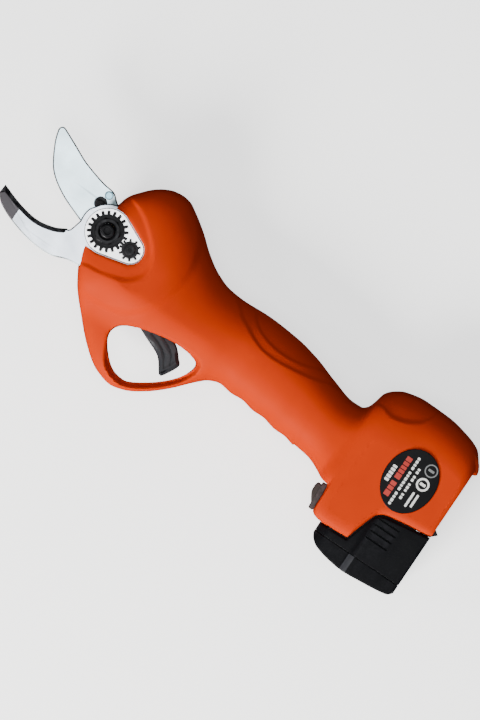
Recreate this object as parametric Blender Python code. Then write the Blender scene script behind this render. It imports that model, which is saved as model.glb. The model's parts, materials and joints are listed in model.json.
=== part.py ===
"""Battery electric pruner: bypass blades, a bevel-geared head, a grip with its motor, a clip-on battery.

Every dimension is in millimetres in the tool frame: origin on the blade pivot, in the joint plane of
the casing, +X to the tail, +Y to the top of the tool, +Z to its left side. The empty "pruner" moves
that frame so that the tool lies on its right side with its bounding box centred on the world origin.
"""
import math

import bmesh
import bpy
from mathutils import Vector

MM = 0.001
GAP = 0.3  # clearance between two pieces that touch
SPLIT = 0.15  # each casing half stops this far from the joint plane

# Overall envelope of the tool.
X_TIP = -61.0
X_TAIL = 241.5
Y_BASE = -81.7
Y_CROWN = 39.4
HALF_THICKNESS = 25.0

# Casing.
WALL = 2.5
LOOP_NARROWING = 0.46  # how much thinner the finger loop is than the head
WAVE_START, WAVE_END, WAVE_PITCH, WAVE_HEIGHT = 97.0, 149.0, 15.0, 0.8
CASING_SCREWS = [(16, 30), (21, -43), (45, 21), (88.5, -32.5), (151, -7), (181, 9.5), (230.5, 7)]
CASING_SCREWS += [(180.4, -40.5)]
BOSS_RADIUS = 4.6
SCREW_SHANK, SCREW_HEAD = 1.5, 2.9
SCREW_SEAT_Z = -9.0
COUNTERSINK_RADIUS, COUNTERSINK_DEPTH = 3.0, 1.8
LABEL_CENTRE, LABEL_RADII = (211.5, -20.8), (15.0, 18.5)

# Levels of the head, from the sector gear out to the left side.
SECTOR_Z = (6.9, 9.5)
MOVING_BLADE_Z = (9.8, 13.0)
FIXED_BLADE_Z = (13.3, 17.0)
HEAD_PLATE_Z = (17.3, 18.8)
LOCK_GEAR_Z = (19.1, 22.1)
HEX_Z = 25.6
BOLT_END_Z = 27.0
FRAME_Z = (-14.0, -11.0)
BOLT_HEAD_Z = (0.9, 6.6)
BOLT_RADIUS = 4.0
BUSH_RADIUS = 6.0
FIXED_HUB = 16.0
MOVING_HUB = 14.0
BLADE_SCREWS = [(2, -19), (28, -11), (28, 7)]
DRIVE_SCREWS = [(-12, 10.7), (9.4, 3.4), (-3.4, -9.4)]

# Lock gears on the pivot nut.
LOCK_MODULE = 1.05
NUT_TEETH, PINION_TEETH = 20, 10
LOCK_CENTRE = (15.66, -1.66)
PLATE_RADII = (12.8, 7.6)

# Drive line, measured along its own axis from the blade pivot.
DRIVE_TILT = -6.2  # degrees about Z
BEVEL_TEETH, SECTOR_FULL_TEETH = 11, 44
BEVEL_OUTER, BEVEL_INNER = 22.0, 16.0
SECTOR_FIRST, SECTOR_LAST = -7, 1  # teeth on either side of the pinion at rest
GEARBOX_RADIUS = 15.2
MOTOR_RADIUS = 15.5
SUN_TEETH, PLANET_TEETH, RING_TEETH = 9, 12, 33
PLANET_MODULE = 0.78
PLANET_ORBIT = PLANET_MODULE * (SUN_TEETH + PLANET_TEETH) / 2
PLANETS_X = (41.4, 48.6)
PLANET_HEIGHTS, PLANET_WIDTHS = (0.55, 0.8), (0.55, 1.2)  # tooth addendum and dedendum, width at tip and root

# Controls.
TRIGGER_PIVOT = (46.0, -27.5)
TRIGGER_HALF = 5.5
SWITCH_CENTRE = (174.6, -55.2)
SWITCH_TILT = 11.5

# Battery.
BATTERY_HALF = 24.3
BATTERY_EDGE = 3.0  # rounding of its side faces
TOWER_X = (188.5, 229.5)
TOWER_HALF = 20.5
TOWER_TOP = -7.5
TOWER_WALL = 1.6
CELL_ROOM_HALF = 19.3
BATTERY_SPLIT_Y = -71.35
CELL_RADIUS, CELL_LENGTH = 9.1, 64.8
CELL_FOOT_Y = -76.2
CELL_X, CELL_PITCH = 209.0, 18.7
LATCH_PIVOT = (233.7, -57.0)
LATCH_HALF = 6.0

TOOL_ORIGIN = Vector(
    (-(X_TIP + X_TAIL) / 2, -(Y_BASE + Y_CROWN) / 2, HALF_THICKNESS)) * MM

# Side view of the casing: height of the top and bottom edges at each x.
TOP_LINE = [
    (-6.5, -11), (-5.6, 2), (-4.6, 11), (-3.4, 16.5), (-2, 21.3), (3, 28.2), (8, 33.4), (13, 36.8),
    (18, 38.8), (23, 39.4), (28, 38.6), (33, 35.9), (43, 29.1), (53, 20.9), (63, 14.7), (73, 11.3),
    (83, 10.5), (98, 11.1), (118, 9.7), (133, 6.7), (148, 1.8), (163, -2), (168, -1.8), (171, 0.6),
    (172.6, 5), (174, 10.8), (178, 15.3), (184, 18.6), (195.5, 20.6), (210.5, 20.2), (225.5, 17.4),
    (233, 14.4), (236, 11.2), (238, 8.5)]
BOTTOM_LINE = [
    (-6.5, -13.5), (-5.6, -17.5), (-4.6, -20.8), (-3.4, -24), (-2, -26.7), (3, -34.7), (13, -45.9),
    (23, -56.1), (33, -64), (38, -66.5), (47, -68.6), (55.5, -66.6), (65.5, -60.7), (75.5, -52),
    (85.5, -41.1), (90.5, -36.7), (97, -34.5), (152, -39.8), (158, -40.6), (163, -42.2),
    (168, -44.8), (172.6, -47.5), (173.6, -49.5), (176.4, -63), (179, -65.3), (184, -65.9),
    (200.3, -65.3), (202, -60.3), (205.3, -50.1), (207, -46.2), (211.5, -43.8), (238, -39.8)]
HALF_WIDTH = [
    (-6.5, 18.5), (-5.6, 19.5), (-3, 20.6), (3, 22.4), (12, 24.3), (25, 25.4), (38, 24.6), (50, 22.3),
    (62, 20.4), (76, 19.2), (92, 18.8), (130, 18.6), (148, 18.6), (162, 19.4), (170, 21.3),
    (176, 24.4), (184, 26.2), (234, 26.2), (236.5, 25.6), (238, 24.2)]
UPPER_ROUNDNESS = [
    (-6.5, 5), (10, 4), (30, 3), (60, 2.5), (90, 2.3), (150, 2.3), (168, 2.8), (180, 4), (238, 4)]
LOWER_ROUNDNESS = [
    (-6.5, 5), (10, 4), (30, 3.2), (60, 2.6), (90, 2.3), (150, 2.3), (168, 3), (180, 12), (238, 14)]
LOOP_CEILING = [
    (-6.5, -60), (-4, -31), (4, -29), (20, -34.5), (34, -33.5), (46, -30.2), (58, -27.8), (72, -27.2),
    (82, -29), (92, -31.2), (104, -40), (238, -70)]

# Where the casing's cross-sections stand: close together where its edges are steep.
SKIN_STATIONS = [-6.5, -5.4, -3.8, -2, 1.5, 6, 11.5, 17, 23, 30, 38, 47, 55, 63, 71, 79, 86, 92, 97]
SKIN_STATIONS += [WAVE_START + WAVE_PITCH * k / 2 for k in range(1, 8)]
SKIN_STATIONS += [158, 165, 170, 172.6, 174, 176.4, 180, 187, 200.3, 205.3, 207.4, 212, 222, 231, 235.5, 238]
CAVITY_STATIONS = [-3.2, 1, 8, 18, 30, 46, 62, 80, 97, 130, 152, 166, 174, 178.5, 186, 200, 210, 224, 235.5]

WINDOW = [
    (31.2, -44.5), (34.5, -38.3), (44.5, -33.8), (62.5, -30.1), (76, -31), (80, -34.5), (76.8, -43.2),
    (68, -52.6), (56, -60.8), (49.5, -62.1), (42, -59.6), (34, -51.5)]


def slope_between(left, right):
    return (right[1] - left[1]) / (right[0] - left[0])


def curve_value(points, x):
    """Monotone cubic through the points: no overshoot between them."""
    if x <= points[0][0]:
        return points[0][1]
    for i in range(len(points) - 1):
        if x <= points[i + 1][0]:
            break
    else:
        return points[-1][1]

    def tangent(k):
        if k == 0:
            return slope_between(points[0], points[1])
        if k == len(points) - 1:
            return slope_between(points[-2], points[-1])
        before = slope_between(points[k - 1], points[k])
        after = slope_between(points[k], points[k + 1])
        if before * after <= 0:
            return 0.0
        return 2 * before * after / (before + after)

    (x0, y0), (x1, y1) = points[i], points[i + 1]
    step = x1 - x0
    t = (x - x0) / step
    return ((2 * t ** 3 - 3 * t ** 2 + 1) * y0 + (t ** 3 - 2 * t ** 2 + t) * step * tangent(i)
            + (3 * t ** 2 - 2 * t ** 3) * y1 + (t ** 3 - t ** 2) * step * tangent(i + 1))


def smoothstep(low, high, x):
    t = min(1.0, max(0.0, (x - low) / (high - low)))
    return t * t * (3 - 2 * t)


def top_edge(x):
    return curve_value(TOP_LINE, x)


def bottom_edge(x):
    y = curve_value(BOTTOM_LINE, x)
    if WAVE_START < x < WAVE_END:
        y -= WAVE_HEIGHT * (0.5 - 0.5 * math.cos(2 * math.pi * (x - WAVE_START) / WAVE_PITCH))
    return y


def half_width(x, y):
    loop = smoothstep(-5, 16, x) * (1 - smoothstep(72, 98, x))
    return curve_value(HALF_WIDTH, x) * (1 - LOOP_NARROWING * loop * smoothstep(18, 46, -y))


def inner_top(x):
    return min(top_edge(x + WALL * u) - WALL * math.sqrt(1 - u * u) for u in (-1, -0.7, 0, 0.7, 1))


def inner_bottom(x):
    edge = max(bottom_edge(x + WALL * u) + WALL * math.sqrt(1 - u * u) for u in (-1, -0.7, 0, 0.7, 1))
    return max(edge, curve_value(LOOP_CEILING, x))


def inner_width(x, y):
    return min(half_width(x + WALL * u, y) for u in (-1, 0, 1)) - WALL


def section(x, top, bottom, width, limit, steps):
    """Half of a rounded cross-section, from its top edge round the side to its bottom edge."""
    centre = (top + bottom) / 2
    reach = (top - bottom) / 2
    points = []
    for i in range(steps + 1):
        angle = math.pi * i / steps
        across = math.cos(angle)
        power = curve_value(UPPER_ROUNDNESS if across > 0 else LOWER_ROUNDNESS, x)
        y = centre + reach * math.copysign(abs(across) ** (2 / power), across)
        z = width(x, y) * abs(math.sin(angle)) ** (2 / power)
        points.append((x, y, min(z, limit)))
    return points


def arc(centre, radius, start, end, steps):
    """Points on a circle from one angle to another, in degrees."""
    points = []
    for i in range(steps + 1):
        angle = math.radians(start + (end - start) * i / steps)
        points.append((centre[0] + radius * math.cos(angle), centre[1] + radius * math.sin(angle)))
    return points


def circle(radius, count, centre=(0, 0), start=0.0):
    return arc(centre, radius, start, start + 360 * (count - 1) / count, count - 1)


def smooth_line(points, steps, closed=False):
    """Catmull-Rom curve through the points."""
    count = len(points)
    result = []
    spans = count if closed else count - 1
    for i in range(spans):
        if closed:
            p0, p1, p2, p3 = (points[(i + k - 1) % count] for k in range(4))
        else:
            p0, p1, p2, p3 = (points[min(max(i + k - 1, 0), count - 1)] for k in range(4))
        for s in range(steps):
            t = s / steps
            result.append(tuple(
                0.5 * (2 * p1[a] + (p2[a] - p0[a]) * t + (2 * p0[a] - 5 * p1[a] + 4 * p2[a] - p3[a]) * t * t
                       + (3 * p1[a] - p0[a] - 3 * p2[a] + p3[a]) * t ** 3) for a in range(len(p1))))
    if not closed:
        result.append(tuple(points[-1]))
    return result


def grow(outline, distance):
    """Move an anticlockwise outline outwards by a distance, with mitred corners."""
    result = []
    count = len(outline)
    for i in range(count):
        before, here, after = (Vector(outline[(i + k) % count][:2]) for k in (-1, 0, 1))
        first = (here - before).normalized()
        second = (after - here).normalized()
        normal = Vector((first.y + second.y, -first.x - second.x)).normalized()
        stretch = max(0.5, normal.dot(Vector((first.y, -first.x))))
        moved = here + normal * (distance / stretch)
        result.append((moved.x, moved.y))
    return result


def two_circle_outline(first, r1, second, r2, steps):
    """The belt round two circles, anticlockwise."""
    dx, dy = second[0] - first[0], second[1] - first[1]
    heading = math.degrees(math.atan2(dy, dx))
    tilt = math.degrees(math.acos((r1 - r2) / math.hypot(dx, dy)))
    return (arc(second, r2, heading - tilt, heading + tilt, steps // 2)
            + arc(first, r1, heading + tilt, heading + 360 - tilt, steps))


def spread_on_polygon(corners, count):
    """Put a number of points on a polygon, with every corner among them."""
    sides = len(corners)
    points = []
    for i, corner in enumerate(corners):
        after = corners[(i + 1) % sides]
        share = count // sides + (1 if i < count % sides else 0)
        points += [tuple(a + (b - a) * k / share for a, b in zip(corner, after)) for k in range(share)]
    return points


def gear_outline(teeth, pitch_radius, heights, widths, start=0.0, inward=False):
    """Straight-flanked teeth: heights (addendum, dedendum), widths at (tip, root)."""
    sign = -1 if inward else 1
    tip = pitch_radius + sign * heights[0]
    root = pitch_radius - sign * heights[1]
    points = []
    for i in range(teeth):
        middle = start + 360 * i / teeth
        for radius, width in ((root, -widths[1]), (tip, -widths[0]), (tip, widths[0]), (root, widths[1])):
            points.append(arc((0, 0), radius, middle + math.degrees(width / 2 / radius), 0, 1)[0])
    return points


def material(name, colour, roughness, metallic=0.0):
    found = bpy.data.materials.get(name)
    if found:
        return found
    made = bpy.data.materials.new(name)
    made.use_nodes = True
    shader = made.node_tree.nodes["Principled BSDF"]
    shader.inputs["Base Color"].default_value = (*colour, 1.0)
    shader.inputs["Roughness"].default_value = roughness
    shader.inputs["Metallic"].default_value = metallic
    made.diffuse_color = (*colour, 1.0)
    return made


def paint(kind):
    finishes = {
        "casing": ((0.80, 0.13, 0.02), 0.42, 0.0),
        "black_plastic": ((0.015, 0.016, 0.018), 0.4, 0.0),
        "blade_steel": ((0.78, 0.83, 0.87), 0.22, 1.0),
        "plate_steel": ((0.88, 0.89, 0.90), 0.3, 1.0),
        "black_steel": ((0.02, 0.02, 0.022), 0.35, 0.8),
        "gear_steel": ((0.35, 0.35, 0.36), 0.4, 1.0),
        "motor_steel": ((0.55, 0.56, 0.58), 0.35, 1.0),
        "copper": ((0.75, 0.32, 0.14), 0.4, 1.0),
        "magnet": ((0.12, 0.12, 0.13), 0.5, 0.6),
        "board_green": ((0.02, 0.16, 0.07), 0.5, 0.0),
        "cell_wrap": ((0.05, 0.22, 0.45), 0.4, 0.0),
        "bronze": ((0.6, 0.38, 0.16), 0.45, 1.0),
        "label_black": ((0.01, 0.01, 0.012), 0.35, 0.0),
    }
    return material(kind, *finishes[kind])


def make_object(name, mesh, kind, parent, origin=(0, 0, 0)):
    thing = bpy.data.objects.new(name, mesh)
    bpy.context.collection.objects.link(thing)
    thing.parent = parent
    thing.location = Vector(origin) * MM
    if kind is None:
        thing.hide_render = True
        thing.display_type = "WIRE"
    else:
        mesh.materials.append(paint(kind))
    return thing


def loft(name, rings, kind, parent, origin=(0, 0, 0), closed=False, smooth=False, split=False):
    """Skin a row of rings with equal point counts; closed joins the last ring to the first.

    split halves the four-sided faces, for a curved skin where they are not flat.
    """
    form = bmesh.new()
    shift = Vector(origin)
    rows = [[form.verts.new((Vector(p) - shift) * MM) for p in ring] for ring in rings]
    count = len(rows[0])
    pairs = list(zip(rows, rows[1:]))
    if closed:
        pairs.append((rows[-1], rows[0]))
    for row, following in pairs:
        for i in range(count):
            j = (i + 1) % count
            form.faces.new((row[i], row[j], following[j], following[i]))
    if not closed:
        form.faces.new(rows[0])
        form.faces.new(rows[-1])
    if split:
        bmesh.ops.triangulate(form, faces=form.faces)
    bmesh.ops.recalc_face_normals(form, faces=form.faces)
    mesh = bpy.data.meshes.new(name)
    form.to_mesh(mesh)
    form.free()
    if smooth:
        mesh.shade_smooth()
        mesh.set_sharp_from_angle(angle=math.radians(35))
    return make_object(name, mesh, kind, parent, origin)


def at_height(outline, z):
    return [(p[0], p[1], z) for p in outline]


def prism(name, outline, levels, kind, parent, origin=(0, 0, 0), smooth=False):
    return loft(name, [at_height(outline, z) for z in levels], kind, parent, origin, smooth=smooth)


def rounded_prism(name, outline, half, edge, kind, parent, origin=(0, 0, 0)):
    """A prism across the tool whose two end faces have a rounded edge."""
    levels = [(-half, edge), (-half + 0.3 * edge, 0.3 * edge), (-half + edge, 0)]
    levels += [(-z, inset) for z, inset in reversed(levels)]
    rings = [at_height(grow(outline, -inset), z) for z, inset in levels]
    return loft(name, rings, kind, parent, origin, smooth=True)


def block(name, low, high, kind, parent, origin=(0, 0, 0)):
    outline = [(low[0], low[1]), (high[0], low[1]), (high[0], high[1]), (low[0], high[1])]
    return prism(name, outline, (low[2], high[2]), kind, parent, origin)


def post(name, centre, radius, levels, kind, parent, count=20, origin=(0, 0, 0)):
    return prism(name, circle(radius, count, centre), levels, kind, parent, origin, smooth=True)


def along_x(outline, x):
    """Stand an outline in the plane across the drive axis at x."""
    return [(x, p[0], p[1]) for p in outline]


def shaft(name, stations, kind, parent, count=24):
    """A bar along X whose radius changes at each station (x, radius)."""
    return loft(name, [along_x(circle(r, count), x) for x, r in stations], kind, parent, smooth=True)


def sleeve(name, profile, kind, parent, count=28):
    """A ring turned about X: the profile is a closed loop of (x, radius)."""
    rings = [along_x(circle(r, count), x) for x, r in profile]
    return loft(name, rings, kind, parent, closed=True, smooth=True)


def combine(thing, tool, operation):
    change = thing.modifiers.new(tool.name, "BOOLEAN")
    change.operation = operation
    change.solver = "EXACT"
    change.object = tool
    tool.hide_render = True
    tool.display_type = "WIRE"


def cut(thing, *tools):
    for tool in tools:
        combine(thing, tool, "DIFFERENCE")


def join(thing, *tools):
    for tool in tools:
        combine(thing, tool, "UNION")


def empty(name, parent=None, location=(0, 0, 0), turn=0.0):
    point = bpy.data.objects.new(name, None)
    bpy.context.collection.objects.link(point)
    point.parent = parent
    point.location = location
    point.rotation_euler.z = math.radians(turn)
    return point


def gear_wheel(name, teeth, place, levels, bore, kind, parent, origin=(0, 0, 0)):
    """A toothed prism with a round bore; place stands an outline at a level."""
    wheel = loft(name, [place(teeth, level) for level in levels], kind, parent, origin)
    low, high = levels
    cut(wheel, loft(name + "_bore", [place(bore, level) for level in (low - 1, high + 1)], None, parent))
    return wheel


# ---------------------------------------------------------------- casing

def casing_half(name, side, frame):
    rings = []
    for x in SKIN_STATIONS:
        ring = section(x, top_edge(x), bottom_edge(x), half_width, HALF_THICKNESS, 10)
        rings.append([(px, py, side * max(SPLIT, pz)) for px, py, pz in ring])
    return loft(name, rings, "casing", frame, smooth=True, split=True)


def casing_cavity(frame):
    """The hollow of the closed casing, less its ribs, bosses, bay walls and the collar of the head."""
    rings = []
    for x in CAVITY_STATIONS:
        half = section(x, inner_top(x), inner_bottom(x), inner_width, HALF_THICKNESS - WALL, 7)
        rings.append(half + [(px, py, -pz) for px, py, pz in reversed(half[1:-1])])
    cavity = loft("casing_cavity", rings, None, frame, split=True)
    bore = sleeve_bore(frame)
    for i, x in enumerate((58.0, 93.0)):
        rib = block(f"motor_rib_{i + 1}", (x, -45, -30), (x + 2.5, 45, 30), None, frame)
        cut(rib, bore)
        cut(cavity, rib)
    bay_walls = [(185.2, -75), (187.4, -75), (187.4, -4.6), (240, -4.6), (240, -2.6), (185.2, -2.6)]
    cut(cavity, prism("bay_walls", bay_walls, (-30, 30), None, frame))
    for i, centre in enumerate(CASING_SCREWS):
        cut(cavity, post(f"boss_{i + 1}", centre, BOSS_RADIUS, (-30, 30), None, frame, 8))
    collar = grow(plate_outline(), 3.6)
    cut(cavity, prism("head_collar", collar, (FIXED_BLADE_Z[1] + GAP, 30), None, frame))
    return cavity


def sleeve_bore(frame):
    drive = empty("drive_bore_axis", frame, turn=DRIVE_TILT)
    return shaft("drive_bore", [(20, MOTOR_RADIUS + GAP), (115, MOTOR_RADIUS + GAP)], None, drive, 32)


def casing_cutters(frame):
    """Openings that both halves share."""
    window = prism("finger_window", smooth_line(WINDOW, 2, closed=True), (-40, 40), None, frame)
    slot = block("trigger_slot", (41.6, -40, -6.1), (74.5, -25, 6.1), None, frame)
    root = block("trigger_root_room", (41.6, -31, -9.2), (50.6, -20, 9.2), None, frame)
    bay = block("battery_bay", (187.9, -90, -21), (230.2, -30, 21), None, frame)
    catch = block("latch_channel", (229, -90, -7.2), (235.4, -30, 7.2), None, frame)
    notch = block("latch_notch", (234, -60, -7.2), (245, -33.8, 7.2), None, frame)
    switch = empty("switch_hole_axis", frame, Vector((*SWITCH_CENTRE, 0)) * MM, SWITCH_TILT)
    hole = block("switch_hole", (-6, -7.1, -7.3), (12, 7.1, 7.3), None, switch)
    return [window, slot, root, bay, catch, notch, hole]


def head_mouth(frame):
    """The slot that the blades leave by, and the recess round the bright plate."""
    slot = block("blade_slot", (-20, -24.3, 6.2), (5, 18.4, 17.5), None, frame)
    bolt_room = block("bolt_room", (-20, -9, -5), (5, 9, 7), None, frame)
    recess = prism("plate_recess", grow(plate_outline(), 0.6), (16.8, 40), None, frame)
    reach = PLATE_RADII[0] + 0.7
    front = block("recess_front", (-30, -reach, 16.9), (0, reach, 40), None, frame)
    return [slot, bolt_room, recess, front]


def rear_lip(frame):
    """The overhanging corner at the top of the rear wall."""
    outline = [(232, 1), (238.9, 1.2), (240.4, 2.6), (239.4, 5.8), (236.5, 9.6), (232, 12)]
    return prism("rear_lip", outline, (-19, 19), None, frame)


def casing(frame):
    left = casing_half("left_casing", 1, frame)
    right = casing_half("right_casing", -1, frame)
    cavity = casing_cavity(frame)
    shared = casing_cutters(frame)
    lip = rear_lip(frame)
    left_side = block("left_space", (-100, -100, SPLIT), (300, 100, 50), None, frame)
    right_side = block("right_space", (-100, -100, -50), (300, 100, -SPLIT), None, frame)
    for half, space in ((left, left_side), (right, right_side)):
        join(half, lip)
        combine(half, space, "INTERSECT")
        cut(half, cavity, *shared)
    cut(left, *head_mouth(frame))
    for i, centre in enumerate(CASING_SCREWS):
        name = f"casing_screw_{i + 1}"
        pilot = post(name + "_hole", centre, SCREW_SHANK + GAP, (-40, 9), None, frame, 8)
        sink = post(name + "_sink", centre, SCREW_HEAD + GAP, (-40, SCREW_SEAT_Z), None, frame, 12)
        cut(left, pilot)
        cut(right, pilot, sink)
        head = SCREW_SEAT_Z - GAP
        stack = [(head - 2, SCREW_HEAD), (head, SCREW_HEAD), (head, SCREW_SHANK), (8, SCREW_SHANK)]
        rings = [at_height(circle(r, 12, centre), z) for z, r in stack]
        loft(name, rings, "black_steel", frame, (*centre, 0), smooth=True)


def label_plate(frame):
    (cx, cy), (rx, ry) = LABEL_CENTRE, LABEL_RADII
    outline = [(cx + rx * x, cy + ry * y) for x, y in circle(1, 40)]
    prism("label_plate", outline, (HALF_THICKNESS + GAP, HALF_THICKNESS + GAP + 0.4), "label_black", frame)


# ---------------------------------------------------------------- cutting head

def plate_outline():
    return two_circle_outline((0, 0), PLATE_RADII[0], LOCK_CENTRE, PLATE_RADII[1], 28)


def screw_hole(name, centre, levels, frame):
    """A countersunk hole: straight up from below, then a cone to the top face."""
    z0, z1 = levels
    wide = COUNTERSINK_RADIUS + GAP
    narrow = SCREW_SHANK + GAP
    stack = [(z0 - 1, narrow), (z1 - COUNTERSINK_DEPTH, narrow), (z1, wide), (z1 + 1, wide)]
    return loft(name, [at_height(circle(r, 14, centre), z) for z, r in stack], None, frame)


def countersunk_screw(name, centre, top, bottom, frame, origin):
    stack = [(bottom, SCREW_SHANK), (top - COUNTERSINK_DEPTH, SCREW_SHANK), (top, COUNTERSINK_RADIUS)]
    rings = [at_height(circle(r, 14, centre), z) for z, r in stack]
    return loft(name, rings, "black_steel", frame, origin, smooth=True)


def moving_blade(frame):
    edge = smooth_line([(-53.6, 31.2), (-51.0, 23.6), (-43.5, 11.2), (-32, 3.0), (-16.3, -3.3)], 4)
    spine = smooth_line([(-5.5, 16.7), (-9.5, 19.7), (-17, 20.8), (-30.5, 24.7), (-41, 29.5), (-50, 33.6)], 3)
    hub = arc((0, 0), MOVING_HUB, 195, 457, 22)
    blade = prism("moving_blade", edge + hub + spine + [(-52.6, 33.2)], MOVING_BLADE_Z, "blade_steel", frame)
    cut(blade, post("moving_blade_bore", (0, 0), BUSH_RADIUS + GAP, (5, 15), None, frame, 28))
    for i, centre in enumerate(DRIVE_SCREWS):
        cut(blade, screw_hole(f"drive_hole_{i + 1}", centre, MOVING_BLADE_Z, frame))
        bottom = SECTOR_Z[0] + 0.2
        countersunk_screw(f"drive_screw_{i + 1}", centre, MOVING_BLADE_Z[1], bottom, frame, (0, 0, 0))


def fixed_blade(frame):
    inner = smooth_line([(-60.5, -9.8), (-48, -14), (-36, -16), (-26, -14.3), (-19.5, -11)], 3)
    hub = arc((0, 0), FIXED_HUB, 192, 60, 20)
    tail = [(24, 12.5), (30, 11.5), (31.8, 9), (31.8, -13), (30, -16), (24, -18.5), (6, -23)]
    back = [(2, -23.6), (-9.5, -24.9), (-19.5, -28.1), (-33, -27.6), (-47, -24.1), (-56.5, -19.8)]
    outer = smooth_line(back + [(-61, -15.4)], 3)
    outline = inner + [(-17.3, -10.8)] + hub + tail + outer
    blade = prism("fixed_blade", outline, FIXED_BLADE_Z, "blade_steel", frame)
    cut(blade, post("fixed_blade_bore", (0, 0), BOLT_RADIUS + GAP, (5, 20), None, frame, 24))
    cut(blade, post("fixed_lock_hole", LOCK_CENTRE, SCREW_SHANK + GAP, (5, 20), None, frame, 16))
    for i, centre in enumerate(BLADE_SCREWS):
        cut(blade, screw_hole(f"blade_hole_{i + 1}", centre, FIXED_BLADE_Z, frame))
        countersunk_screw(f"blade_screw_{i + 1}", centre, FIXED_BLADE_Z[1], 4.0, frame, (*centre, 0))


def head_frame(frame):
    """Steel carrier behind the gears: a plate with a pillar under each blade screw."""
    outline = [(0.5, -22), (6, -22), (20, -17), (31, -16), (31, 11.3), (22, 11.3), (8, 2), (0.5, -14)]
    carrier = prism("head_frame", outline, FRAME_Z, "gear_steel", frame)
    for i, centre in enumerate(BLADE_SCREWS):
        join(carrier, post(f"pillar_{i + 1}", centre, 3.1, (FRAME_Z[1] - 1, 13.0), None, frame, 12))
        cut(carrier, post(f"pillar_bore_{i + 1}", centre, SCREW_SHANK + GAP, (3.5, 20), None, frame, 10))


def sector_gear(frame):
    """The bevel sector on the back of the moving blade; its teeth point to the drive axis."""
    step = 360 / SECTOR_FULL_TEETH
    first = DRIVE_TILT + (SECTOR_FIRST + 0.5) * step
    last = DRIVE_TILT + (SECTOR_LAST + 0.5) * step
    rim = arc((0, 0), BEVEL_OUTER + 1.2, first - 3, last + 3, 14)
    hub = arc((0, 0), 12.5, last + 24, first + 336, 20)
    gear = prism("sector_gear", rim + hub, SECTOR_Z, "gear_steel", frame)
    lug = two_circle_outline((0, 0), 8, DRIVE_SCREWS[0], 3.6, 16)
    join(gear, prism("drive_lug", lug, SECTOR_Z, None, frame))
    for i in range(SECTOR_FIRST, SECTOR_LAST + 1):
        angle = DRIVE_TILT + (i + 0.5) * step
        rings = []
        for reach in (BEVEL_INNER, BEVEL_OUTER):
            size = reach / BEVEL_OUTER
            pitch_z = reach * BEVEL_TEETH / SECTOR_FULL_TEETH
            form = [(-1.05, 7.3), (-1.05, pitch_z + 1.1 * size), (-0.36, pitch_z - 0.8 * size)]
            form += [(-half, z) for half, z in reversed(form)]
            turned = math.radians(angle)
            rings.append([(reach * math.cos(turned) - half * size * math.sin(turned),
                           reach * math.sin(turned) + half * size * math.cos(turned), z) for half, z in form])
        join(gear, loft(f"sector_tooth_{i - SECTOR_FIRST + 1}", rings, None, frame))
    cut(gear, post("sector_bore", (0, 0), BUSH_RADIUS + GAP, (0, 12), None, frame, 28))
    for i, centre in enumerate(DRIVE_SCREWS):
        cut(gear, post(f"sector_hole_{i + 1}", centre, SCREW_SHANK + GAP, (0, 12), None, frame, 16))


def pivot_parts(frame):
    count = 24
    hexagon = spread_on_polygon(circle(7.3, 6), count)
    round_bar = circle(BOLT_RADIUS, count)
    stack = [(BOLT_HEAD_Z[0], hexagon), (BOLT_HEAD_Z[1], hexagon), (BOLT_HEAD_Z[1], round_bar),
             (BOLT_END_Z - 0.8, round_bar), (BOLT_END_Z, circle(BOLT_RADIUS - 0.8, count))]
    loft("pivot_bolt", [at_height(ring, z) for z, ring in stack], "black_steel", frame, smooth=True)
    inner, outer = circle(BOLT_RADIUS + GAP, 20), circle(BUSH_RADIUS, 20)
    z0, z1 = SECTOR_Z[0], MOVING_BLADE_Z[1]
    rings = [at_height(outer, z0), at_height(outer, z1), at_height(inner, z1), at_height(inner, z0)]
    loft("pivot_bush", rings, "bronze", frame, closed=True, smooth=True)


def head_plate(frame):
    plate = prism("head_plate", plate_outline(), HEAD_PLATE_Z, "plate_steel", frame)
    cut(plate, post("plate_bore", (0, 0), BOLT_RADIUS + GAP, (15, 20), None, frame, 24))
    cut(plate, post("plate_lock_hole", LOCK_CENTRE, SCREW_SHANK + GAP, (15, 20), None, frame, 16))


def lock_gears(frame):
    heights = (0.9, 1.15)
    widths = (1.05, 1.65)
    direction = math.degrees(math.atan2(LOCK_CENTRE[1], LOCK_CENTRE[0]))
    low, high = LOCK_GEAR_Z
    teeth = gear_outline(NUT_TEETH, LOCK_MODULE * NUT_TEETH / 2, heights, widths, direction)
    bore = circle(BOLT_RADIUS + GAP, 20)
    nut = gear_wheel("lock_nut", teeth, at_height, LOCK_GEAR_Z, bore, "black_steel", frame)
    hexagon = post("lock_hexagon", (0, 0), 7.6, (low + 1, HEX_Z), None, frame, 6)
    cut(hexagon, post("lock_hexagon_bore", (0, 0), BOLT_RADIUS + GAP, (0, 40), None, frame, 20))
    join(nut, hexagon)

    start = direction + 180 / PINION_TEETH
    teeth = gear_outline(PINION_TEETH, LOCK_MODULE * PINION_TEETH / 2, heights, widths, start)
    centre = Vector((*LOCK_CENTRE, 0))
    small = [(x + centre.x, y + centre.y) for x, y in teeth]
    bore = circle(SCREW_SHANK + GAP, 12, LOCK_CENTRE)
    gear_wheel("lock_pinion", small, at_height, LOCK_GEAR_Z, bore, "black_steel", frame, centre)
    seat = high + GAP
    stack = [(13.6, SCREW_SHANK), (seat, SCREW_SHANK), (seat, 3.0), (high + 2, 3.0), (high + 2.4, 2.5)]
    rings = [at_height(circle(r, 16, LOCK_CENTRE), z) for z, r in stack]
    loft("lock_screw", rings, "black_steel", frame, centre, smooth=True)


# ---------------------------------------------------------------- drive line

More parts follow.
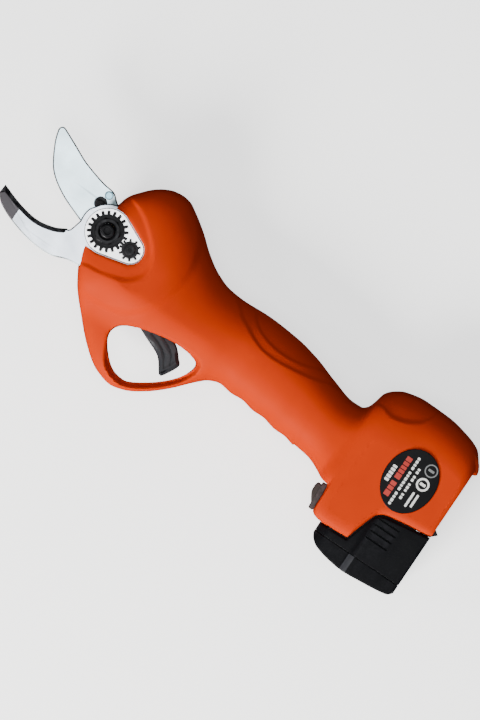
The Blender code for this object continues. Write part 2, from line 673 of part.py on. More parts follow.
def bevel_pinion(drive):
    step = 360 / BEVEL_TEETH
    rings = []
    for x in (BEVEL_INNER, BEVEL_OUTER):
        size = x / BEVEL_OUTER
        pitch = x * BEVEL_TEETH / SECTOR_FULL_TEETH
        teeth = gear_outline(BEVEL_TEETH, pitch, (0.8 * size, 1.1 * size), (0.72 * size, 2.0 * size), 90)
        rings.append(along_x(teeth, x))
    count = len(rings[0])
    for x, radius in ((BEVEL_OUTER, 4.2), (37.7, 4.2)):
        rings.append(along_x(circle(radius, count, start=90 - step / 2), x))
    loft("bevel_pinion", rings, "gear_steel", drive)


def gearbox(drive):
    sleeve("pinion_bearing", [(33.0, 4.5), (33.0, 8.0), (37.0, 8.0), (37.0, 4.5)], "motor_steel", drive, 20)
    cap = [(33.0, 8.3), (33.0, 11.5), (35.5, GEARBOX_RADIUS), (37.7, GEARBOX_RADIUS), (37.7, 8.3)]
    sleeve("gearbox_cap", cap, "motor_steel", drive)
    plate = shaft("planet_carrier", [(38.0, 11.2), (41.0, 11.2)], "gear_steel", drive)
    for i in range(3):
        centre = arc((0, 0), PLANET_ORBIT, 120 * i, 0, 1)[0]
        pin = [along_x(circle(1.7, 12, centre), x) for x in (40.5, 49.4)]
        join(plate, loft(f"carrier_pin_{i + 1}", pin, None, drive))
        wheel = gear_outline(PLANET_TEETH, PLANET_MODULE * PLANET_TEETH / 2, PLANET_HEIGHTS, PLANET_WIDTHS,
                             120 * i + 180 / PLANET_TEETH)
        teeth = [(p[0] + centre[0], p[1] + centre[1]) for p in wheel]
        bore = circle(2.0, 12, centre)
        gear_wheel(f"planet_{i + 1}", teeth, along_x, PLANETS_X, bore, "gear_steel", drive, (0, *centre))
    pitch = PLANET_MODULE * RING_TEETH / 2
    teeth = gear_outline(RING_TEETH, pitch, PLANET_HEIGHTS, PLANET_WIDTHS, inward=True)
    ring = shaft("ring_gear", [(38.0, GEARBOX_RADIUS), (50.0, GEARBOX_RADIUS)], "motor_steel", drive, 28)
    cut(ring, loft("ring_teeth", [along_x(teeth, x) for x in (37, 51)], None, drive))


def motor(drive):
    teeth = gear_outline(SUN_TEETH, PLANET_MODULE * SUN_TEETH / 2, PLANET_HEIGHTS, PLANET_WIDTHS)
    count = len(teeth)
    rings = [along_x(teeth, PLANETS_X[0]), along_x(teeth, PLANETS_X[1])]
    rings += [along_x(circle(2.1, count), x) for x in (PLANETS_X[1], 106.0)]
    loft("motor_shaft", rings, "gear_steel", drive)
    sleeve("rotor_magnet", [(58, 2.4), (58, 7.6), (92, 7.6), (92, 2.4)], "magnet", drive, 24)
    sleeve("stator", [(57, 8.2), (57, 13.6), (93, 13.6), (93, 8.2)], "copper", drive, 24)
    can = [(50.3, 2.6), (50.3, MOTOR_RADIUS - 1), (51.3, MOTOR_RADIUS), (99.7, MOTOR_RADIUS), (99.7, 14.0),
           (53.3, 14.0), (53.3, 2.6)]
    sleeve("motor_can", can, "motor_steel", drive)
    cap = [(100, 2.6), (100, MOTOR_RADIUS), (103, MOTOR_RADIUS), (104, MOTOR_RADIUS - 1), (104, 2.6)]
    sleeve("motor_end_cap", cap, "black_plastic", drive)


# ---------------------------------------------------------------- controls

def trigger(frame):
    pivot = (*TRIGGER_PIVOT, 0)
    front = [(49.5, -36.3), (59.5, -40.8), (64.5, -46.8), (66, -48.9), (67.6, -49.1)]
    back = [(69.5, -46.3), (72.8, -39.3), (70.5, -35.8), (66.5, -31.5), (62, -28.6)]
    outline = arc(TRIGGER_PIVOT, 2.9, 80, 235, 8) + front + back
    lever = rounded_prism("trigger", outline, TRIGGER_HALF, 0.8, "black_plastic", frame, pivot)
    cut(lever, post("trigger_bore", TRIGGER_PIVOT, 1.7, (-12, 12), None, frame, 16))
    cut(lever, block("magnet_pocket", (56.2, -30.6, -2.3), (60.8, -25, 2.3), None, frame))
    block("trigger_magnet", (56.5, -30.3, -2), (60.5, -28.3, 2), "magnet", frame, pivot)
    post("trigger_pin", TRIGGER_PIVOT, 1.35, (-9, 9), "gear_steel", frame, 16, pivot)
    block("hall_board", (50.9, -23.4, -5), (57.6, -22.4, 5), "board_green", frame)


def trigger_spring(frame):
    """Torsion spring round the trigger pin."""
    turns, radius, wire = 3, 2.5, 0.35
    coil = bpy.data.curves.new("trigger_spring", "CURVE")
    coil.dimensions = "3D"
    coil.bevel_depth = wire * MM
    coil.bevel_resolution = 1
    coil.use_fill_caps = True
    line = coil.splines.new("POLY")
    steps = 12 * turns
    line.points.add(steps)
    for i in range(steps + 1):
        angle = 2 * math.pi * i * turns / steps
        point = Vector((radius * math.cos(angle), radius * math.sin(angle), 6.1 + 2.4 * i / steps)) * MM
        line.points[i].co = (*point, 1.0)
    coil.materials.append(paint("gear_steel"))
    spring = bpy.data.objects.new("trigger_spring", coil)
    bpy.context.collection.objects.link(spring)
    spring.parent = frame
    spring.location = Vector((*TRIGGER_PIVOT, 0)) * MM


def rectangle_across(x, half_y, half_z):
    return [(x, half_y, half_z), (x, -half_y, half_z), (x, -half_y, -half_z), (x, half_y, -half_z)]


def power_switch(switch):
    frame_rings = [(-1.7, 7.4, 8.4), (-GAP, 7.4, 8.4), (-GAP, 6.8, 6.9), (8.0, 6.8, 6.9), (8.0, 6.25, 6.3),
                   (-1.7, 6.25, 6.3)]
    rings = [rectangle_across(*ring) for ring in frame_rings]
    loft("switch_housing", rings, "black_plastic", switch, closed=True)
    outline = [(-2.2, 5.2), (-4.2, 1.5), (-1.6, -5.2), (1.2, -4.8), (4.5, -1.5), (4.5, 1.5), (1.2, 4.8)]
    pivot = (2.0, 0, 0)
    rounded_prism("power_rocker", outline, 5.9, 0.5, "black_plastic", switch, pivot)


def electronics(frame):
    board = block("controller_board", (189.5, -2.2, -18), (231, -0.6, 18), "board_green", frame)
    for i in range(6):
        x = 193 + 5.2 * i
        join(board, block(f"power_chip_{i + 1}", (x, -0.8, -14), (x + 4, 1.6, -5), None, frame))
    join(board, block("processor_chip", (204, -0.8, 3), (213, 0.8, 12), None, frame))
    rings = [[(x, 6.2 + p[0], 6 + p[1]) for p in circle(4, 16)] for x in (212, 213, 222)]
    loft("capacitor", rings, "magnet", frame, smooth=True)
    terminal = block("terminal_block", (198, -7.2, -9), (220, -4.9, 9), "black_plastic", frame)
    for i in range(4):
        z = -6.8 + 4.0 * i
        join(terminal, block(f"terminal_blade_{i + 1}", (203, -9.2, z), (215, -7, z + 1.2), None, frame))


# ---------------------------------------------------------------- battery

def battery(frame):
    skin = [(184.6, BATTERY_SPLIT_Y + GAP / 2), (238, BATTERY_SPLIT_Y + GAP / 2), (238, -40.3)]
    skin += [(211.8, -44.2), (207.7, -46.5), (205.9, -50.3), (201.1, -65.8), (184.9, -66.4)]
    case = rounded_prism("battery_case", skin, BATTERY_HALF, BATTERY_EDGE, "black_plastic", frame)
    x0, x1 = TOWER_X
    join(case, block("battery_tower", (x0, -70, -TOWER_HALF), (x1, TOWER_TOP, TOWER_HALF), None, frame))
    low, high = x0 + TOWER_WALL, x1 - TOWER_WALL
    ceiling = TOWER_TOP - 2
    room = block("cell_room", (low, -100, -CELL_ROOM_HALF), (high, ceiling, CELL_ROOM_HALF), None, frame)
    door = block("terminal_door", (202.4, -20, -8.4), (215.6, 0, 8.4), None, frame)
    pocket = block("latch_pocket", (230.0, -60.6, -6.6), (235.4, -30, 6.6), None, frame)
    notch = block("latch_nib_notch", (235, -42.5, -6.6), (240, -30, 6.6), None, frame)
    cut(case, room, door, pocket, notch)

    foot = (arc((191.0, -72.6), 6.4, 180, 250, 4) + [(200.5, -81.0), (208, -81.7), (219, -80.9), (231, -79.6)]
            + arc((233.6, -75.2), 4.4, 290, 360, 4))
    outline = [(184.6, BATTERY_SPLIT_Y - GAP / 2)] + foot + [(238, BATTERY_SPLIT_Y - GAP / 2)]
    base = rounded_prism("battery_base", outline, BATTERY_HALF, BATTERY_EDGE, "black_plastic", frame)
    cut(base, block("base_room", (low, -76.6, -CELL_ROOM_HALF), (high, -60, CELL_ROOM_HALF), None, frame))

    number = 0
    for x in (CELL_X - CELL_PITCH / 2, CELL_X + CELL_PITCH / 2):
        for z in (-CELL_PITCH / 2, CELL_PITCH / 2):
            number += 1
            stack = [(0, CELL_RADIUS), (CELL_LENGTH - 1, CELL_RADIUS), (CELL_LENGTH - 1, 3), (CELL_LENGTH, 3)]
            rings = [[(x + p[0], CELL_FOOT_Y + rise, z + p[1]) for p in circle(r, 16)] for rise, r in stack]
            loft(f"cell_{number}", rings, "cell_wrap", frame, smooth=True)
    block("battery_board", (x0 + 3, -11.1, -17), (x1 - 3, -9.9, 17), "board_green", frame)


def battery_latch(frame):
    """A springy tongue up the back of the battery with a thumb nib through the rear wall."""
    px, py = LATCH_PIVOT
    tongue = [(px - 1, py - 1.6), (px + 1, py - 1.6), (234.7, -40.4)]
    nib = [(238.2, -40.1), (X_TAIL, -36.8), (238.2, -34.3), (234.7, -34.3)]
    outline = tongue + nib + [(232.7, -34.3)]
    prism("battery_latch", outline, (-LATCH_HALF, LATCH_HALF), "black_plastic", frame, (px, py, 0))


def build():
    for thing in list(bpy.data.objects):
        bpy.data.objects.remove(thing, do_unlink=True)
    frame = empty("pruner", location=TOOL_ORIGIN)
    drive = empty("drive_axis", frame, turn=DRIVE_TILT)
    switch = empty("switch_axis", frame, Vector((*SWITCH_CENTRE, 0)) * MM, SWITCH_TILT)
    casing(frame)
    label_plate(frame)
    fixed_blade(frame)
    moving_blade(frame)
    sector_gear(frame)
    head_frame(frame)
    pivot_parts(frame)
    head_plate(frame)
    lock_gears(frame)
    bevel_pinion(drive)
    gearbox(drive)
    motor(drive)
    trigger(frame)
    trigger_spring(frame)
    power_switch(switch)
    electronics(frame)
    battery(frame)
    battery_latch(frame)


build()
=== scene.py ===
import json
import math

import bmesh
import bpy
import numpy as np
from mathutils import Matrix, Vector


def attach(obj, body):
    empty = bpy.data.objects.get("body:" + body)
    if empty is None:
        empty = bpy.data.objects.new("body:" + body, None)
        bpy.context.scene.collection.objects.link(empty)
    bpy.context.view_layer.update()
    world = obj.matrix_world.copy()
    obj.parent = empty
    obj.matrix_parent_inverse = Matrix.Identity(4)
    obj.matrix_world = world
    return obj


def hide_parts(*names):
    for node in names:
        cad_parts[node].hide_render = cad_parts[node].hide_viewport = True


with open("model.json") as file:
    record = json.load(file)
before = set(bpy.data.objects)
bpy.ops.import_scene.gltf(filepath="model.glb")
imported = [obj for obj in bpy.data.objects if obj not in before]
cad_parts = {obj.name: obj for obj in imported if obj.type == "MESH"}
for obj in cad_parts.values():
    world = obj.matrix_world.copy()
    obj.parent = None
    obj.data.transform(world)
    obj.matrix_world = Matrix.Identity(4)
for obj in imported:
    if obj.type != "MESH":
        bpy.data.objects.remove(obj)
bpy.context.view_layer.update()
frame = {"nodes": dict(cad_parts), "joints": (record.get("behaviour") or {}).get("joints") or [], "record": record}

# Lengths are millimetres in the tool frame: origin on the blade pivot in the joint plane of the casing,
# +X to the tail, +Y to the top of the tool, +Z to its left side. ORIGIN carries them into the scene.
MM = 0.001
HALF_THICKNESS = 25.0
SPLIT = 0.15
WALL = 2.5
JOINTS = {joint["name"]: joint for joint in frame["joints"]}
PIVOT = JOINTS["blade_pivot"]["pos_m"]
ORIGIN = Vector((PIVOT[0], PIVOT[1], HALF_THICKNESS * MM))

FIXED_BLADE_Z = (13.3, 17.0)
MOVING_BLADE_Z = (9.8, 13.0)
HEAD_PLATE_Z = (17.3, 18.8)
LOCK_GEAR_Z = (19.1, 22.1)
HEX_Z = 25.6
BOLT_END_Z = 27.0
BOLT_HEAD_Z = (0.9, 6.6)
BOLT_RADIUS = 4.0
GAP = 0.3
RECESS_GAP = 0.35
RECESS_LIP = 0.9
LOCK_CENTRE = (15.66, -1.66)
LOCK_BORE = 1.8
HOOK_HUB, HUB_RELIEF = 16.0, 0.9  # the hub is cut back over the drive screw
TIP_FACET_X, TIP_SLOPE = -46.7, 0.12
PLATE_RADII = (12.8, 7.6)
LOCK_MODULE = 1.05
NUT_TEETH, PINION_TEETH = 20, 10
DRIVE_SCREWS = [(-12, 10.7), (9.4, 3.4), (-3.4, -9.4)]
CASING_SCREWS = [(16, 30), (21, -43), (45, 21), (88.5, -32.5), (151, -7), (181, 9.5), (230.5, 7),
                 (180.4, -40.5)]
SCREW_SEAT_Z = -9.0
BATTERY_HALF = 24.3
BATTERY_SPLIT_Y = -71.35
TOWER_X = (188.5, 229.5)
TOWER_HALF, TOWER_TOP = 20.5, -7.5
CELL_ROOM_HALF = 19.3
LABEL_CENTRE, LABEL_RADII = (211.5, -20.8), (15.0, 18.5)
DASH_GAP, DASH_CORNER = 0.5, 0.3
SWITCH_CENTRE, SWITCH_TILT = (176.8, -55.4), 3.2
TRIGGER_PIVOT = (46.0, -27.5)
WAVE_START, WAVE_END, WAVE_PITCH, WAVE_HEIGHT = 97.0, 149.0, 15.0, 0.8
LOOP_NARROWING = 0.46
WINDOW_CENTRE = (54, -46)
SOFTEN_ANGLE = 35
SOCKET_DEPTH, SCREW_DOME = 1.2, 0.35

# Side view of the casing: height of its top and bottom edges at each x, and its half width.
TOP_LINE = [
    (-6.5, -11), (-5.6, 2), (-4.6, 11), (-3.4, 16.5), (-2, 21.3), (3, 28.2), (8, 33.4), (13, 36.8),
    (18, 38.8), (23, 39.4), (28, 38.6), (33, 35.9), (43, 29.1), (53, 20.9), (63, 14.7), (73, 11.3),
    (83, 10.5), (98, 11.1), (118, 9.7), (133, 6.7), (148, 1.8), (163, -2), (168, -1.8), (171, 0.6),
    (172.6, 5), (174, 10.8), (178, 15.3), (184, 18.6), (195.5, 20.6), (210.5, 20.2), (225.5, 17.4),
    (233, 14.4), (236, 11.2), (238, 8.5)]
BOTTOM_LINE = [
    (-6.5, -13.5), (-5.6, -17.5), (-4.6, -20.8), (-3.4, -24), (-2, -26.7), (3, -34.7), (13, -45.9),
    (23, -56.1), (33, -64), (38, -66.5), (47, -68.6), (55.5, -66.6), (65.5, -60.7), (75.5, -52),
    (85.5, -41.1), (90.5, -36.7), (97, -34.5), (152, -39.8), (158, -40.6), (163, -42.2),
    (168, -44.6), (171.9, -46.5), (175.9, -47.3), (176.5, -49.2), (177.2, -62.6), (179.4, -65.1),
    (184, -65.9), (200.3, -65.3), (202, -60.3), (205.3, -50.1), (207, -46.2), (211.5, -43.8), (238, -39.8)]
HALF_WIDTH = [
    (-6.5, 18.5), (-5.6, 19.5), (-3, 20.6), (3, 22.4), (12, 24.3), (25, 25.4), (38, 24.6), (50, 22.3),
    (62, 20.4), (76, 19.2), (92, 18.8), (130, 18.6), (148, 18.6), (162, 19.4), (170, 21.3),
    (176, 24.0), (184, 25.2), (234, 25.2), (236.5, 24.9), (238, 24.2)]
UPPER_ROUNDNESS = [  # exponent of the section's curve: 2 is an ellipse, more is squarer
    (-6.5, 5), (10, 3.6), (30, 2.7), (60, 2.25), (90, 2.1), (150, 2.1), (168, 2.4), (180, 2.9), (238, 3.1)]
LOWER_ROUNDNESS = [
    (-6.5, 5), (10, 4), (30, 3.2), (60, 2.6), (90, 2.3), (150, 2.3), (168, 3), (180, 12), (238, 14)]
LOOP_CEILING = [
    (-6.5, -60), (-4, -31), (4, -29), (20, -34.5), (34, -33.5), (46, -30.2), (58, -27.8), (72, -27.2),
    (82, -29), (92, -31.2), (104, -40), (238, -70)]
WINDOW = [
    (31.2, -44.5), (34.5, -38.3), (44.5, -33.8), (62.5, -30.1), (76, -31), (80, -34.5), (76.8, -43.2),
    (68, -52.6), (56, -60.8), (49.5, -62.1), (42, -59.6), (34, -51.5)]
WINDOW_DRAFT = [(-40, 1), (-12, 1), (-9, 0.75), (-4, 0), (4, 0), (9, 0.75), (12, 1), (40, 1)]
STATIONS = [(-6.5, 8, 0.5), (8, 160, 1.0), (160, 174, 0.6), (174, 180, 0.3), (180, 200, 0.8),
            (200, 214, 0.5), (214, 234, 1.2), (234, 238.01, 0.4)]
SECTION_POINTS = 126
MOST_STYLING = 2.0

# Styling of the sides: closed outlines. The surface falls by these depths inside them, or outside BULGE.
DISH = [(-30, 30), (1.7, 22.5), (10.5, 19.2), (16.7, 15), (25.8, 6.7), (30, -1.7), (30, -10), (23.3, -17.5),
        (13.3, -20.8), (1.7, -22.5), (-30, -23.5)]
BULGE = [(-20, 60), (30, 46), (38, 30), (44.5, 20), (47.5, 8), (46.7, -5), (43.3, -16.7), (36.7, -25.5),
         (30.5, -30.5), (20, -33.3), (8, -33.5), (-20, -33.5)]
OUTER_PAD = [(79, 13), (84, 4), (90, 0), (101.7, -5.8), (113, -7.5), (130, -5.8), (145, -2), (155, 3),
             (140, 40), (95, 40)]
INNER_PAD = [(91, 13), (94.5, 4), (106.7, -1.7), (121.7, -2.5), (137, 1.5), (143, 8), (130, 40), (100, 40)]
SHOULDER = [(170, 4.6), (176.7, 4.2), (185, 2.5), (195, 5.8), (202, 12.5), (205, 26), (190, 40), (170, 30)]
DISH_DEPTH, BULGE_DEPTH, PAD_DEPTH, SHOULDER_DEPTH = 1.1, 1.6, 0.8, 1.2
BULGE_FADE = 16.0

SLOT_OF = {item["node"]: item["material_slot"] for item in frame["record"]["subparts"]}
BODY_OF = {node: body for body, nodes in frame["record"]["behaviour"]["bodies"].items() for node in nodes}


# ------------ curves and outlines

def curve(points, x):
    """Monotone cubic through the points, for an array of x."""
    px, py = np.array(points, float).T
    slope = np.diff(py) / np.diff(px)
    product = slope[:-1] * slope[1:]
    total = np.where(product > 0, slope[:-1] + slope[1:], 1.0)
    tangent = np.concatenate(([slope[0]], np.where(product > 0, 2 * product / total, 0.0), [slope[-1]]))
    x = np.clip(x, px[0], px[-1])
    i = np.clip(np.searchsorted(px, x, side="right") - 1, 0, len(slope) - 1)
    step = px[i + 1] - px[i]
    t = (x - px[i]) / step
    return ((2 * t ** 3 - 3 * t ** 2 + 1) * py[i] + (t ** 3 - 2 * t ** 2 + t) * step * tangent[i]
            + (3 * t ** 2 - 2 * t ** 3) * py[i + 1] + (t ** 3 - t ** 2) * step * tangent[i + 1])


def smoothstep(low, high, x):
    t = np.clip((x - low) / (high - low), 0.0, 1.0)
    return t * t * (3 - 2 * t)


def top_edge(x):
    return curve(TOP_LINE, x)


def bottom_edge(x):
    x = np.asarray(x, float)
    wave = WAVE_HEIGHT * (0.5 - 0.5 * np.cos(2 * np.pi * (x - WAVE_START) / WAVE_PITCH))
    return curve(BOTTOM_LINE, x) - np.where((x > WAVE_START) & (x < WAVE_END), wave, 0.0)


def half_width(x, y):
    loop = smoothstep(-5, 16, x) * (1 - smoothstep(72, 98, x))
    return curve(HALF_WIDTH, x) * (1 - LOOP_NARROWING * loop * smoothstep(18, 46, -y))


def arc(centre, radius, start, end, steps):
    """Points on a circle from one angle to another, in degrees."""
    angles = [math.radians(start + (end - start) * i / steps) for i in range(steps + 1)]
    return [(centre[0] + radius * math.cos(a), centre[1] + radius * math.sin(a)) for a in angles]


def circle(radius, count, centre=(0, 0), start=0.0):
    return arc(centre, radius, start, start + 360 * (count - 1) / count, count - 1)


def smooth_line(points, steps, closed=False):
    """Catmull-Rom curve through the points."""
    count = len(points)
    result = []
    for i in range(count if closed else count - 1):
        if closed:
            p0, p1, p2, p3 = (points[(i + k - 1) % count] for k in range(4))
        else:
            p0, p1, p2, p3 = (points[min(max(i + k - 1, 0), count - 1)] for k in range(4))
        for s in range(steps):
            t = s / steps
            result.append(tuple(
                0.5 * (2 * p1[a] + (p2[a] - p0[a]) * t + (2 * p0[a] - 5 * p1[a] + 4 * p2[a] - p3[a]) * t * t
                       + (3 * p1[a] - p0[a] - 3 * p2[a] + p3[a]) * t ** 3) for a in range(2)))
    if not closed:
        result.append(tuple(points[-1]))
    return result


def grow(outline, distance):
    """Move an anticlockwise outline outwards; distance is one number or one for each point."""
    count = len(outline)
    amounts = distance if isinstance(distance, list) else [distance] * count
    result = []
    for i in range(count):
        before, here, after = (Vector(outline[(i + k) % count][:2]) for k in (-1, 0, 1))
        first = (here - before).normalized()
        second = (after - here).normalized()
        normal = Vector((first.y + second.y, -first.x - second.x)).normalized()
        stretch = max(0.5, normal.dot(Vector((first.y, -first.x))))
        moved = here + normal * (amounts[i] / stretch)
        result.append((moved.x, moved.y))
    return result


def two_circle_outline(first, r1, second, r2, steps):
    """The belt round two circles, anticlockwise."""
    dx, dy = second[0] - first[0], second[1] - first[1]
    heading = math.degrees(math.atan2(dy, dx))
    tilt = math.degrees(math.acos((r1 - r2) / math.hypot(dx, dy)))
    return (arc(second, r2, heading - tilt, heading + tilt, steps // 2)
            + arc(first, r1, heading + tilt, heading + 360 - tilt, steps))


def plate_outline(steps=64):
    return two_circle_outline((0, 0), PLATE_RADII[0], LOCK_CENTRE, PLATE_RADII[1], steps)


def gear_outline(teeth, pitch_radius, heights, widths, start, centre=(0, 0)):
    """Straight-flanked teeth: heights (addendum, dedendum), widths at (tip, root)."""
    tip, root = pitch_radius + heights[0], pitch_radius - heights[1]
    points = []
    for i in range(teeth):
        middle = start + 360 * i / teeth
        for radius, width in ((root, -widths[1]), (tip, -widths[0]), (tip, widths[0]), (root, widths[1])):
            points.append(arc(centre, radius, middle + math.degrees(width / 2 / radius), 0, 1)[0])
    return points


def distance_outside(outline, x, y):
    """Distance of each point from a closed outline, negative inside it."""
    nearest = np.full(x.shape, 1e9)
    inside = np.zeros(x.shape, bool)
    for (ax, ay), (bx, by) in zip(outline, outline[1:] + outline[:1]):
        ux, uy = bx - ax, by - ay
        along = np.clip(((x - ax) * ux + (y - ay) * uy) / (ux * ux + uy * uy + 1e-12), 0, 1)
        nearest = np.minimum(nearest, np.hypot(x - ax - along * ux, y - ay - along * uy))
        if ay != by:
            inside ^= ((ay > y) != (by > y)) & (x < ax + (y - ay) * ux / uy)
    return np.where(inside, -nearest, nearest)


# ------------ meshes

def scene_point(p):
    return ORIGIN + Vector([float(v) for v in p]) * MM


def add_object(name, data):
    thing = bpy.data.objects.new(name, data)
    bpy.context.scene.collection.objects.link(thing)
    return thing


def solid(name, rings, closed=False):
    """A closed skin over a row of rings with equal point counts; closed joins the last ring to the first."""
    form = bmesh.new()
    rows = [[form.verts.new(scene_point(p)) for p in ring] for ring in rings]
    count = len(rows[0])
    pairs = list(zip(rows, rows[1:]))
    if closed:
        pairs.append((rows[-1], rows[0]))
    for row, following in pairs:
        for i in range(count):
            j = (i + 1) % count
            form.faces.new((row[i], row[j], following[j], following[i]))
    if not closed:
        ends = [form.faces.new(rows[0]), form.faces.new(rows[-1])]
        form.normal_update()
        bmesh.ops.triangulate(form, faces=ends, ngon_method="EAR_CLIP")
    bmesh.ops.recalc_face_normals(form, faces=form.faces)
    mesh = bpy.data.meshes.new(name)
    form.to_mesh(mesh)
    form.free()
    return add_object(name, mesh)


def at_height(outline, z):
    return [(p[0], p[1], z) for p in outline]


def prism(name, outline, levels):
    return solid(name, [at_height(outline, z) for z in levels])


def turn_about(centre, turn, points):
    """Points given in a frame turned about Z at centre."""
    c, s = math.cos(math.radians(turn)), math.sin(math.radians(turn))
    return [(centre[0] + a * c - b * s, centre[1] + a * s + b * c) for a, b in points]


def block(name, low, high, centre=(0, 0), turn=0):
    outline = [(low[0], low[1]), (high[0], low[1]), (high[0], high[1]), (low[0], high[1])]
    return prism(name, turn_about(centre, turn, outline), (low[2], high[2]))


def turned(name, centre, profile, count=40):
    """A solid of revolution about Z through centre: the profile is a row of (z, radius)."""
    return solid(name, [at_height(circle(radius, count, centre), z) for z, radius in profile])


def rounded_slab(name, outline, half, edge, steps=5):
    """A prism across the tool with rounded edges."""
    angles = [math.pi / 2 * k / steps for k in range(steps, -1, -1)]
    low = [(-half + edge * (1 - math.sin(a)), edge * (1 - math.cos(a))) for a in angles]
    levels = low + [(-z, inset) for z, inset in low[::-1]]
    return solid(name, [at_height(grow(outline, -inset), z) for z, inset in levels])


def settle(thing):
    """Turn an object's modifiers into its mesh."""
    graph = bpy.context.evaluated_depsgraph_get()
    mesh = bpy.data.meshes.new_from_object(thing.evaluated_get(graph))
    thing.modifiers.clear()
    thing.data = mesh
    return thing


def carve(thing, cutters, operation="DIFFERENCE"):
    """Cut each of the closed solids from thing, or join them to it, and remove them."""
    for tool in cutters:
        change = thing.modifiers.new(tool.name, "BOOLEAN")
        change.operation = operation
        change.solver = "MANIFOLD"
        change.object = tool
    settle(thing)
    for tool in cutters:
        bpy.data.objects.remove(tool)
    return thing


def soften(thing, width, segments=2):
    """Round the sharp edges."""
    bevel = thing.modifiers.new("edge", "BEVEL")
    bevel.width = width * MM
    bevel.segments = segments
    bevel.limit_method = "ANGLE"
    bevel.angle_limit = math.radians(SOFTEN_ANGLE)
    return settle(thing)


def place(thing, finish, body, replaced=(), sharp=32):
    """Shade a piece, give it its finish and let it move with its body."""
    thing.data.shade_smooth()
    thing.data.set_sharp_from_angle(angle=math.radians(sharp))
    if finish:
        thing.data.materials.clear()
        thing.data.materials.append(finish)
    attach(thing, body)
    if replaced:
        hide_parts(*replaced)
    return thing


def finish_faces(thing, finishes, choose):
    """Several finishes on one piece: choose gives the number of one from a face's centre and normal."""
    thing.data.materials.clear()
    for kind in finishes:
        thing.data.materials.append(kind)
    for face in thing.data.polygons:
        face.material_index = choose((face.center - ORIGIN) / MM, face.normal)


def slanted(normal):
    return 0.2 < normal.z < 0.93


def stands_for(thing, finish, *nodes, sharp=32):
    return place(thing, finish, BODY_OF[nodes[0]], nodes, sharp)


# ------------ finishes

def connect(tree, node, inputs):
    """Give each of a node's inputs its value, or another node's output."""
    for key, value in inputs.items():
        if isinstance(value, bpy.types.NodeSocket):
            tree.links.new(value, node.inputs[key])
        else:
            node.inputs[key].default_value = value


def new_node(tree, kind, inputs, **settings):
    made = tree.nodes.new(kind)
    for key, value in settings.items():
        setattr(made, key, value)
    connect(tree, made, inputs)
    return made


def ramp(tree, source, low, high, start=0.0, end=1.0):
    """Map source from low..high to start..end."""
    return new_node(tree, "ShaderNodeMapRange", {0: source, 1: low, 2: high, 3: start, 4: end}).outputs[0]


def blend_colour(tree, factor, first, second):
    first, second = ((*v, 1.0) if isinstance(v, tuple) else v for v in (first, second))
    return new_node(tree, "ShaderNodeMix", {0: factor, 6: first, 7: second}, data_type="RGBA").outputs[2]


def noise_at(tree, coords, scale, detail=3.0, stretch=(1, 1, 1), turn=0.0, distortion=0.0):
    """Noise with about `scale` features per metre, stretched and turned about Z."""
    turned_to = (0, 0, math.radians(turn))
    mapping = new_node(tree, "ShaderNodeMapping", {"Vector": coords, "Rotation": turned_to, "Scale": stretch})
    noise = new_node(tree, "ShaderNodeTexNoise", {
        "Vector": mapping.outputs[0], "Scale": scale, "Detail": detail, "Distortion": distortion})
    return noise.outputs["Fac"]


def relief(tree, height, depth, **under):
    """Bumps up to depth millimetres high."""
    return new_node(tree, "ShaderNodeBump", {
        "Strength": 1.0, "Distance": depth * MM, "Height": height, **under}).outputs[0]


def new_material(name):
    made = bpy.data.materials.new(name)
    made.use_nodes = True
    coords = new_node(made.node_tree, "ShaderNodeTexCoord", {}).outputs["Object"]
    return made, made.node_tree, made.node_tree.nodes["Principled BSDF"], coords


